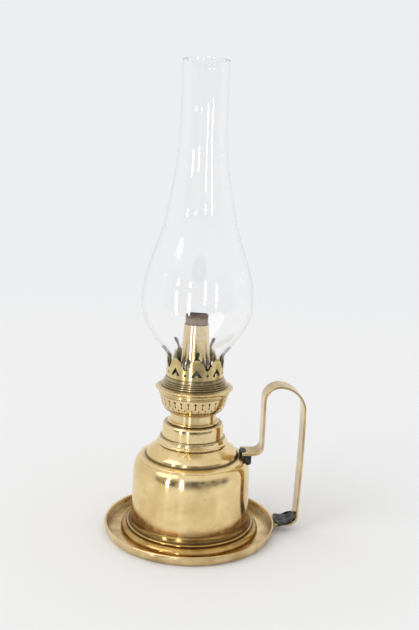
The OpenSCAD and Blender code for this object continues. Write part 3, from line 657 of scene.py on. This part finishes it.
# Spun brass low on the lamp: a darker copy of the brass, whose deeper gold and brown are painted shade for the
# dark drum and pan that it mirrors
FOOT_SHADED = Brass("foot_brass_shaded", clean="#d8b16d", tarnish="#8a6532", cloud=0.85, gloss=0.09, dull=0.22)
# Turned brass rubbed by hands: the palest and brightest
COLLAR = Brass("rubbed_brass", clean="#f8e2b0", tarnish="#dcbf86", gloss=0.1, dull=0.2)
# Rolled brass strip: bright, with lines along its length
STRAP = Brass("rolled_strap_brass", clean="#ead09c", tarnish="#9e8251", cloud=0.75, gloss=0.1, dull=0.24,
              grain=Grain.ALONG, crevices=())
# Pressed brass that was lacquered: bright, slightly greyer
BURNER = Brass("pressed_brass", clean="#f0d9a8", tarnish="#c6a972", gloss=0.12, dull=0.24)
# Brass greyed by heat under the crown: satin
GREY = Brass("greyed_brass", clean="#ccba96", tarnish="#8f7f61", cloud=0.9, gloss=0.18, dull=0.32)
# Thin pierced brass, heated daily: greenish gold and half dull
FRET = Brass("pierced_brass", clean="#f0dca6", tarnish="#c4ad72", cloud=0.8, gloss=0.18, dull=0.34)
# Drawn brass tube: pale, with soft upright streaks of light
TUBE = Brass("drawn_tube_brass", clean="#efdbb2", tarnish="#c2a97e", gloss=0.14, dull=0.28, crevices=())
# Small turned brass parts: even gold
TURNED = Brass("turned_brass", clean="#e0c890", tarnish="#b5985f", grain=Grain.NONE, crevices=())
# Lead and tin solder, smeared on and left: nearly black, with a soft shine
SOLDER = DullMetal("lead_tin_solder", "#5a5b58", "#26241f", 0.3, 0.5, 4.0, 2.6, 0.05)
# Bronze strip, darkened by the flame: grey-green and dull
SPRING = DullMetal("oxidised_spring_bronze", "#6e7063", "#43463c", 0.36, 0.55, 5.0, 0.7, 0.04)
# Woven cotton, soaked and scorched: matt tan, brown at the rim
COTTON = WovenCotton()
# Blown soda-lime glass: seen by its edges and its streaks of light
GLASS = BlownGlass()


class Paintbox:
    """Makes each finish once and hands it out."""

    def __init__(self) -> None:
        """Starts with no finish made."""
        self.made: dict[str, bpy.types.Material] = {}

    def of(self, finish: Brass | DullMetal | WovenCotton | BlownGlass) -> bpy.types.Material:
        """The material of a finish, made at its first use."""
        if finish.name not in self.made:
            self.made[finish.name] = finish.build()
        return self.made[finish.name]

    def dress_node(self, node: str, finish: Brass | DullMetal) -> None:
        """Gives a CAD node a finish through its object's material slots."""
        for holder in frame["nodes"][node].material_slots:
            holder.material = self.of(finish)
        LOG.info("node %s wears %s", node, finish.name)

    def stand_for(self, piece: bpy.types.Object, node: str,
                  finish: Brass | DullMetal | WovenCotton | BlownGlass) -> None:
        """Dresses a new piece, which takes a CAD node's place and body.

        Args:
            piece: the new piece.
            node: the node that it stands for.
            finish: its finish.
        """
        piece.data.materials.append(self.of(finish))
        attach(piece, frame["nodes"][node]["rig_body"])
        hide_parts(node)
        LOG.info("piece %s stands for %s, %d faces", piece.name, node, len(piece.data.polygons))


# The lamp

@dataclass
class Pan:
    """The shallow pan with its wired edge, knocked a little out of round."""

    rim_mid_r: float = 62.1
    rim_mid_z: float = 6.6
    wire_r: float = 0.9
    sheet: float = 1.0
    flare: float = 4.5
    corner: float = 3.2
    waves: Waves = ((2, 0.0, 0.5, 0.10), (5, 0.0, 1.1, 0.07), (9, 0.01, 2.6, 0.05), (16, 0.03, 0.3, 0.03))

    def sway(self, angle: np.ndarray, radius: np.ndarray,
              height: np.ndarray) -> tuple[np.ndarray, np.ndarray]:
        """Waves of the side, which only ever lie inside the true circle, and a faint swell of the floor."""
        depth = sum(wave[3] for wave in self.waves)
        out = smooth((radius - 50) / 12) * (ripple(angle, height, self.waves) - depth)
        up = smooth(height) * smooth((60 - radius) / 20) * ripple(angle, radius, ((3, 0.02, 0.9, 0.05),))
        return out, up

    def build(self, box: Paintbox) -> None:
        """Builds the dish and its wired rim."""
        edge = self.rim_mid_r + self.sheet / 2
        foot = edge - self.flare
        seat = self.rim_mid_z - math.sqrt(self.wire_r**2 - self.sheet**2 / 4)
        side = bezier([(foot, 0), (foot + self.corner, 0), (edge, seat - self.corner), (edge, seat)])
        section = joined([(0, 0)], side, beside(side, self.sheet)[::-1], [(0, self.sheet)])
        dish = revolved("pan_dish", section, closed=False, push=self.sway)
        box.stand_for(dish, "saucer_dish", PAN)
        wire = arc((self.rim_mid_r, self.rim_mid_z), self.wire_r, 0, 345, 23)
        box.stand_for(revolved("pan_rim", wire, push=self.sway, ease=0.1), "saucer_rim", PAN)


@dataclass
class Font:
    """The drum of the oil font with its cover and its ogee foot."""

    floor_z: float = 1.0
    drum_r: float = 43.4
    drum_top_r: float = 42.7
    shoulder_z: float = 43.0
    lip_r: float = 38.5
    lip_z: float = 55.9
    lip_w: float = 2.6
    sheet: float = 0.8
    foot_r: float = 50.8
    bead_r: float = 0.95
    bead_mid: tuple[float, float] = (45.62, 7.0)
    cove_z: float = 12.6
    # Angle in degrees, height, depth, width and tallness in mm; the first two show in front
    dings: tuple[tuple[float, float, float, float, float], ...] = (
        (-74.5, 41.0, 0.30, 2.0, 1.5), (-72.6, 33.0, 0.16, 2.4, 1.2), (-128.0, 24.0, 0.10, 5.0, 4.0),
        (35.0, 30.0, 0.22, 4.0, 3.0), (108.0, 20.0, 0.25, 6.0, 5.0), (200.0, 36.0, 0.18, 4.0, 3.0))

    def dented(self, angle: np.ndarray, radius: np.ndarray,
               height: np.ndarray) -> tuple[np.ndarray, np.ndarray]:
        """Faint waves of the spun wall, and its dents."""
        waves = ripple(angle, height, ((3, 0.01, 0.4, 0.05), (7, 0.02, 2.2, 0.03), (13, 0.05, 1.3, 0.015)))
        return waves - 0.1 + dents(angle, radius, height, self.dings), 0 * height

    def waved(self, angle: np.ndarray, radius: np.ndarray,
              height: np.ndarray) -> tuple[np.ndarray, np.ndarray]:
        """Faint waves of the cover and the foot."""
        waves = ripple(angle, radius + height, ((4, 0.01, 0.7, 0.03), (9, 0.03, 2.9, 0.02)))
        return waves - 0.05, 0.5 * waves * smooth((height - 3) / 3)

    def build(self, box: Paintbox) -> None:
        """Builds the drum, the cover and the foot, and dresses the floor."""
        wall = joined([(self.drum_r, self.floor_z)],
                      bezier([(self.drum_top_r, self.shoulder_z), (42.6, 50.74), (41.02, 54.61),
                              (self.lip_r, self.lip_z)]),
                      [(self.lip_r - self.lip_w, self.lip_z)])
        drum = joined(wall, beside(wall, self.sheet)[::-1])
        box.stand_for(revolved("font_drum_spun", drum, push=self.dented), "font_drum", SPUN)
        top = joined([(38.4, 55.9), (38.4, 56.8), (38.1, 57.1), (33.9, 57.9), (33.4, 58.3)],
                     bezier([(33.2, 60.0), (32.8, 62.16), (27.8, 64.8), (24.6, 67.2)]), [(18.9, 67.2)])
        cover = joined(top, beside(top, self.sheet)[::-1])
        lid = revolved("font_cover_spun", cover, push=self.waved, ease=0.2)
        box.stand_for(lid, "font_cover", SPUN)
        r, (mid_r, mid_z) = self.foot_r, self.bead_mid
        skirt = bezier([(r, self.floor_z + 0.9), (r - 0.6, mid_z - 1.6), (mid_r + 2.6, mid_z - 1.4),
                        (mid_r + 0.5 * self.bead_r, mid_z - 0.86 * self.bead_r)])
        cove = bezier([(mid_r - 0.5 * self.bead_r, mid_z + 0.86 * self.bead_r), (44.3, 9.07), (43.75, 9.8),
                       (43.55, self.cove_z)])
        foot = joined([(r - self.sheet, self.floor_z), (r, self.floor_z)], skirt,
                      arc(self.bead_mid, self.bead_r, -60, 120), cove, [(42.9, self.cove_z), (42.9, 6.05)],
                      beside(skirt, self.sheet)[::-1])
        ogee = revolved("foot_ogee", foot, push=self.waved, ease=0.15)
        # The foot wears the darker copy of the brass, painted shade for the drum and pan it mirrors
        box.stand_for(ogee, "foot_moulding", FOOT_SHADED)
        box.dress_node("font_floor", SPUN)
        box.dress_node("collar_base", COLLAR)
        box.dress_node("collar", COLLAR)


@dataclass
class Handle:
    """The flat strap, bent to a loop, and the dark solder at its two ends."""

    arm_end_x: float = 36.1
    arm_z: float = 60.2
    inner_leg_x: float = 51.0
    outer_leg_x: float = 80.4
    foot_leg_x: float = 78.9
    loop_top_z: float = 111.0
    corner_r: float = 11.0
    loop_r: float = 18.4
    bend_r: float = 6.4
    foot_z: float = 6.65
    rim_r: float = 62.95
    width: float = 17.0
    thick: float = 1.64
    edge_r: float = 0.6

    def line(self) -> np.ndarray:
        """The strap's middle line in x and z: the arm, the loop, the leg and the foot."""
        low, high = self.foot_z, self.loop_top_z - self.loop_r
        return joined(
            [(self.arm_end_x, self.arm_z)],
            arc((self.inner_leg_x - self.bend_r, self.arm_z + self.bend_r), self.bend_r, -90, 0),
            arc((self.inner_leg_x + self.corner_r, self.loop_top_z - self.corner_r), self.corner_r, 180, 90),
            arc((self.outer_leg_x - self.loop_r, high), self.loop_r, 90, 0, 32),
            bezier([(self.outer_leg_x, high), (self.outer_leg_x + 0.5, low + 0.7 * (high - low)),
                    (self.foot_leg_x + 0.9, low + 0.35 * (high - low)), (self.foot_leg_x, low + self.bend_r)]),
            arc((self.foot_leg_x - self.bend_r, low + self.bend_r), self.bend_r, 0, -90),
            [(self.rim_r, low)])

    def strap(self) -> bpy.types.Object:
        """The strap: a rounded rectangle carried along the middle line, square to it."""
        path = spaced(self.line(), 1.2)
        ahead = np.gradient(path, axis=0)
        ahead /= np.linalg.norm(ahead, axis=1)[:, None]
        normal = left_of(ahead)
        n, y, e = self.thick / 2 - self.edge_r, self.width / 2 - self.edge_r, self.edge_r
        run = np.linspace(y, -y, 13)[1:-1]
        section = joined(arc((n, y), e, 0, 90, 6), arc((-n, y), e, 90, 180, 6),
                         np.column_stack([np.full(11, -n - e), run]),
                         arc((-n, -y), e, 180, 270, 6), arc((n, -y), e, 270, 360, 6),
                         np.column_stack([np.full(11, n + e), run[::-1]]))
        s = np.arange(len(path))[:, None] * 1.2
        bow = 0.03 * np.sin(s / 9 + 0.3 * section[None, :, 1]) * np.cos(s / 17)
        off = section[None, :, 0] + bow
        rings = np.stack([path[:, None, 0] + off * normal[:, None, 0], np.tile(section[:, 1], (len(path), 1)),
                          path[:, None, 1] + off * normal[:, None, 1]], axis=-1)
        return lofted("strap_handle", rings)

    @staticmethod
    def lump(name: str, outline: Sequence[tuple[float, float]] | np.ndarray, mid: tuple[float, float],
             half: float, rough: float, phase: float) -> bpy.types.Object:
        """A lump of solder: the side outline, drawn in towards its middle at both sides, with soft lumps.

        Args:
            name: the piece's name.
            outline: closed outline in x and z.
            mid: the point that it shrinks to.
            half: half its width.
            rough: height of the lumps.
            phase: shifts the lumps.
        Returns:
            the new object.
        """
        loop = eased(joined(outline), True, ease=0.5, step=0.5)
        v = np.linspace(-1, 1, 45)[:, None]
        y = half * np.sin(v * math.pi / 2)
        size = np.clip(1 - np.abs(y / half)**5, 0.001, 1)**(1 / 3)
        mid_point = np.asarray(mid)
        arm = loop - mid_point
        s = np.linspace(0, TURN, len(loop), endpoint=False)[None, :]
        wave = (np.sin(3 * s + 0.7 * y + phase) + 0.7 * np.sin(5 * s - 0.9 * y + 2 * phase)
                + 0.5 * np.sin(2 * s + 1.6 * y + 3 * phase)) / 2.2
        reach = np.linalg.norm(arm, axis=1)[None, :]
        grow = size * (1 + rough * (wave - 0.8) / reach)
        x = mid[0] + arm[None, :, 0] * grow
        z = mid[1] + arm[None, :, 1] * grow
        return lofted(name, np.stack([x, np.broadcast_to(y, x.shape), z], axis=-1))

    def build(self, box: Paintbox) -> None:
        """Builds the strap and both lumps of solder."""
        box.stand_for(self.strap(), "handle", STRAP)
        upper = [(34.7, 54.9), (34.6, 60.0), (35.4, 61.6), (37.6, 61.7), (39.6, 61.2), (42.8, 59.3),
                 (43.6, 57.6), (43.6, 52.4), (42.6, 50.9), (38.5, 51.2)]
        box.stand_for(self.lump("solder_at_shoulder", upper, (39.6, 56.2), 7.0, 0.14, 0.6),
                      "handle_solder_top", SOLDER)
        hub = (self.foot_leg_x - self.bend_r, self.foot_z + self.bend_r)
        lower = joined([(62.95, 4.7), (65.3, 4.7), (66.6, 5.6), (72.5, 6.0), (77.0, 8.2), (78.2, 11.3)],
                       arc(hub, self.bend_r - self.thick / 2 - 0.7, -20, -90, 10), [(64.6, 8.2), (62.95, 8.7)])
        box.stand_for(self.lump("solder_at_rim", lower, (69.0, 7.2), 9.1, 0.05, 1.9),
                      "handle_solder_foot", SOLDER)


@dataclass
class Wick:
    """The round wick: a flat woven wick rolled up, parted lower down round the air duct."""

    out_r: float = 8.05
    in_r: float = 6.05
    tail_z: float = 17.0
    top_z: float = 161.7
    part_z: float = 126.0
    close_z: float = 142.0
    part_half: float = 60.5
    seam_half: float = 1.5
    cords: int = 34
    pick_mm: float = 1.1
    columns: int = 240

    def build(self, box: Paintbox) -> None:
        """Builds the cloth: radius and half angle of the gap are functions of the height."""
        z = np.r_[np.linspace(self.tail_z, 145, 78)[:-1], np.linspace(145, self.top_z, 72)][:, None]
        gap = self.seam_half + (self.part_half - self.seam_half) * (
            1 - smooth((z - self.part_z) / (self.close_z - self.part_z)))
        t = np.linspace(0, 1, self.columns)[None, :]
        angle = np.radians(-90 + gap + t * (360 - 2 * gap))
        weave = 0.07 * np.sin(self.cords * angle) * np.where(z > 145, np.sin(math.pi * z / self.pick_mm), 1.0)
        edge = np.minimum(t, 1 - t) * self.out_r * TURN
        dip = 0.35 * np.exp(-(edge / 0.5)**2)
        rim = 0.7 * (1 - np.sqrt(np.clip(1 - ((z - self.top_z + 0.8) / 0.8).clip(0, 1)**2, 0, 1)))
        outer_r, inner_r = self.out_r - 0.05 + weave - dip - rim, self.in_r + 0.05 - weave + rim
        uneven = 0.22 * np.sin(3 * angle + 0.8) * smooth((z - self.top_z + 4) / 4) - 0.22 * smooth(
            (z - self.top_z + 4) / 4)
        height = z + uneven
        grids = [np.stack([r * np.cos(angle), r * np.sin(angle), height + 0 * r], axis=-1)
                 for r in (outer_r, inner_r)]
        burnt = smooth((height - self.top_z + 3.6 + 0.5 * np.sin(5 * angle)) / 3.2)
        piece = walled("cotton_wick", grids[0], grids[1], {"char": burnt})
        box.stand_for(piece, "wick", COTTON)


@dataclass
class Chimney:
    """The blown chimney with its round belly, drawn in to a slim neck, both rims fire-polished."""

    fitter_r: float = 19.1
    foot_z: float = 117.3
    fitter_z: float = 131.0
    bulge_r: float = 39.6
    bulge_z: float = 171.5
    mouth_r: float = 15.9
    top_z: float = 335.0
    glass: float = 1.5

    def line(self) -> np.ndarray:
        """The glass's outer line: foot, belly, shoulder, throat and mouth."""
        rise, high = self.bulge_z - self.fitter_z, self.top_z - self.bulge_z
        neck_r = self.mouth_r + 0.34 * (self.bulge_r - self.mouth_r)
        neck_z = self.bulge_z + 0.376 * high
        return joined(
            [(self.fitter_r, self.foot_z)],
            bezier([(self.fitter_r, self.fitter_z), (self.fitter_r, self.fitter_z + 0.15 * rise),
                    (self.bulge_r, self.bulge_z - 0.59 * rise), (self.bulge_r, self.bulge_z)]),
            bezier([(self.bulge_r, self.bulge_z), (self.bulge_r, self.bulge_z + 0.14 * high),
                    (neck_r + 3.4, self.bulge_z + 0.25 * high), (neck_r, neck_z)]),
            bezier([(neck_r, neck_z), (neck_r - 2.6, self.bulge_z + 0.472 * high),
                    (self.mouth_r + 0.3, self.bulge_z + 0.56 * high),
                    (self.mouth_r + 0.1, self.bulge_z + 0.786 * high)]),
            [(self.mouth_r, self.top_z)])

    def waver(self, angle: np.ndarray, radius: np.ndarray,
              height: np.ndarray) -> tuple[np.ndarray, np.ndarray]:
        """The blower's long waves, none at the foot that the prongs grip."""
        waves = ripple(angle, height, ((2, 0.004, 0.3, 0.1), (3, 0.009, 1.7, 0.06), (5, 0.02, 2.9, 0.03)))
        return smooth((height - 134) / 20) * waves, 0 * height

    def build(self, box: Paintbox) -> None:
        """Builds the chimney."""
        outer = self.line()
        section = joined(outer, beside(outer, self.glass)[::-1])
        piece = revolved("blown_chimney", section, steps=256, push=self.waver, ease=0.7)
        box.stand_for(piece, "glass_chimney", GLASS)


@dataclass
class Burner:
    """The round-wick burner, whose pressed and pierced pieces keep their CAD shapes."""

    finishes: tuple[tuple[str, Brass | DullMetal], ...] = (
        ("burner_base", BURNER), ("burner_neck", BURNER), ("air_basket", BURNER), ("burner_band", BURNER),
        ("gallery_ring", GREY), ("crown", FRET), ("spring_ring", SPRING), ("wick_tube", TUBE),
        ("draught_tube", TUBE), ("shaft_bracket", TURNED), ("shaft_bushing", TURNED),
        ("wick_shaft", TURNED), ("feed_wheels", TURNED), ("wick_knob", TURNED), ("knob_rivet", TURNED))

    def build(self, box: Paintbox) -> None:
        """Dresses the burner's nodes and the wick winder's."""
        for node, finish in self.finishes:
            box.dress_node(node, finish)


@dataclass
class Studio:
    """A pale floor without a horizon, an even pale room, a soft light from the left and two tall windows."""

    backdrop: str = "#edeef0"
    floor: str = "#eeeeee"
    room: str = "#f4f4f4"
    dim_front: str = "#4e4a44"
    floor_half_m: float = 12.0
    # The table ends here in front; beyond it, brass mirrors the dim room
    front_edge_m: float = 0.32
    sun: float = 0.45
    # Angle from the lamp to each window, in degrees round from the handle
    windows: tuple[float, ...] = (-110.0, -137.0)
    # Lower and upper end of the panes, below and above a transom, in metres from the table's top
    panes: tuple[tuple[float, float], ...] = ((-0.5, 0.42), (0.58, 0.74))
    window_wide: float = 0.13
    window_far: float = 1.6
    window_glow: float = 9.0
    camera_at: tuple[float, float, float] = (-0.03024, -0.55793, 0.2614)
    look: tuple[float, float] = (0.0698, 0.9976)
    pitch: float = 10.17
    roll: float = 2.33
    lens: float = 45.714

    def lay_floor(self) -> None:
        """A square of floor that fades into the backdrop's colour further off, so that no horizon shows."""
        h, front = self.floor_half_m, -self.front_edge_m
        mesh = bpy.data.meshes.new("studio_floor")
        mesh.from_pydata([(-h, front, 0), (h, front, 0), (h, h, 0), (-h, h, 0)], [], [(0, 1, 2, 3)])
        floor = bpy.data.objects.new("studio_floor", mesh)
        bpy.context.scene.collection.objects.link(floor)
        material, tree, _, at = begin("matt_paper")
        far = add(tree, "ShaderNodeVectorMath", {0: at}, operation="LENGTH").outputs["Value"]
        share = add(tree, "ShaderNodeMapRange", {"Value": far, "From Min": 0.35, "From Max": 1.6},
                    interpolation_type="SMOOTHSTEP")
        ahead = add(tree, "ShaderNodeSeparateXYZ", {0: at}).outputs[1]
        near = add(tree, "ShaderNodeMapRange", {
            "Value": ahead, "From Min": -0.5 * self.front_edge_m, "From Max": -0.98 * self.front_edge_m},
            interpolation_type="SMOOTHSTEP")
        share = add(tree, "ShaderNodeMath", {0: share.outputs[0], 1: near.outputs[0]}, operation="MAXIMUM")
        matt = add(tree, "ShaderNodeBsdfDiffuse", {"Color": paint(self.floor)})
        glow = add(tree, "ShaderNodeEmission", {"Color": paint(self.backdrop), "Strength": 1.0})
        both = add(tree, "ShaderNodeMixShader", {0: share.outputs[0], 1: matt.outputs[0], 2: glow.outputs[0]})
        end = next(node for node in tree.nodes if node.type == "OUTPUT_MATERIAL")
        plug(tree, end, {"Surface": both.outputs[0]})
        mesh.materials.append(material)

    def light_room(self) -> None:
        """The world: pale to the camera and through glass, and even for light.

        For reflections it has a dim, uneven band low in front.
        """
        world = bpy.data.worlds.new("studio")
        bpy.context.scene.world = world
        world.use_nodes = True
        tree = world.node_tree
        tree.nodes.clear()
        ray = add(tree, "ShaderNodeLightPath").outputs
        toward = add(tree, "ShaderNodeTexCoord").outputs["Generated"]
        side = add(tree, "ShaderNodeSeparateXYZ", {0: toward})
        front = add(tree, "ShaderNodeMapRange", {
            "Value": side.outputs[1], "From Min": -0.1, "From Max": -0.45}, interpolation_type="SMOOTHSTEP")
        low = add(tree, "ShaderNodeMapRange", {"Value": side.outputs[2], "From Min": 0.5, "From Max": 0.3},
                  interpolation_type="SMOOTHSTEP")
        clutter = add(tree, "ShaderNodeTexNoise", {"Vector": toward, "Scale": 4.0})
        clutter = add(tree, "ShaderNodeMapRange", {
            "Value": clutter.outputs[0], "From Min": 0.42, "From Max": 0.55, "To Min": 0.5})
        front = add(tree, "ShaderNodeMath", {0: front.outputs[0], 1: low.outputs[0]}, operation="MULTIPLY")
        front = add(tree, "ShaderNodeMath", {0: front.outputs[0], 1: clutter.outputs[0]}, operation="MULTIPLY")
        mirrored = add(tree, "ShaderNodeMix", {
            0: front.outputs[0], 6: paint(self.backdrop), 7: paint(self.dim_front)}, data_type="RGBA")
        seen = add(tree, "ShaderNodeMath", {0: ray["Is Camera Ray"], 1: ray["Is Transmission Ray"]},
                   operation="MAXIMUM")
        tone = add(tree, "ShaderNodeMix", {
            0: ray["Is Glossy Ray"], 6: paint(self.room), 7: mirrored.outputs[2]}, data_type="RGBA")
        tone = add(tree, "ShaderNodeMix", {0: seen.outputs[0], 6: tone.outputs[2], 7: paint(self.backdrop)},
                   data_type="RGBA")
        back = add(tree, "ShaderNodeBackground", {"Color": tone.outputs[2], "Strength": 1.0})
        add(tree, "ShaderNodeOutputWorld", {"Surface": back.outputs[0]})

    def hang_lights(self) -> None:
        """A broad sun from the left, and the windows, which show as streaks in glass and brass."""
        def put(name: str, light: bpy.types.Light, place: Vector, to: Vector) -> None:
            """Links a light that looks from place to a point."""
            lamp = bpy.data.objects.new(name, light)
            turn = (place - to).to_track_quat("Z", "Y").to_matrix().to_4x4()
            lamp.matrix_world = Matrix.Translation(place) @ turn
            lamp.visible_camera = False
            bpy.context.scene.collection.objects.link(lamp)

        sun = bpy.data.lights.new("left_sky", "SUN")
        sun.energy, sun.angle = self.sun, math.radians(38)
        put("left_sky", sun, Vector((-1.5, -0.7, 1.7)), Vector((0, 0, 0)))
        for turn in self.windows:
            for low, high in self.panes:
                pane = bpy.data.lights.new("window_pane", "AREA")
                pane.shape, pane.size, pane.size_y = "RECTANGLE", self.window_wide, high - low
                pane.energy = self.window_glow * math.pi * self.window_wide * (high - low)
                way = self.window_far * Vector((math.cos(math.radians(turn)), math.sin(math.radians(turn))))
                place = Vector((*way, (low + high) / 2))
                put(pane.name, pane, place, Vector((0, 0, place.z)))

    def aim_camera(self) -> None:
        """The camera, at the photograph's place, pitch, roll and angle of view."""
        level_look = Vector((*self.look, 0)).normalized()
        pitch, roll = math.radians(self.pitch), math.radians(self.roll)
        ahead = level_look * math.cos(pitch) - Vector((0, 0, math.sin(pitch)))
        side = level_look.cross(Vector((0, 0, 1)))
        up = side.cross(ahead)
        right = side * math.cos(roll) + up * math.sin(roll)
        top = up * math.cos(roll) - side * math.sin(roll)
        data = bpy.data.cameras.new("photo_view")
        data.sensor_width, data.lens = 36.0, self.lens
        camera = bpy.data.objects.new("photo_view", data)
        pose = Matrix((right, top, -ahead)).transposed().to_4x4()
        pose.translation = Vector(self.camera_at)
        camera.matrix_world = pose
        bpy.context.scene.collection.objects.link(camera)
        bpy.context.scene.camera = camera

    def build(self) -> None:
        """Lays the floor, lights it and aims the camera."""
        self.lay_floor()
        self.light_room()
        self.hang_lights()
        self.aim_camera()
        bpy.context.scene.view_settings.view_transform = "Standard"


def main() -> None:
    """Builds the lamp's sub-assemblies in order, then the studio."""
    logging.basicConfig(level=logging.INFO, format="%(message)s")
    box = Paintbox()
    for assembly in (Pan(), Font(), Handle(), Burner(), Wick(), Chimney()):
        LOG.info("building %s", type(assembly).__name__)
        assembly.build(box)
    Studio().build()


if __name__ == "__main__":
    main()
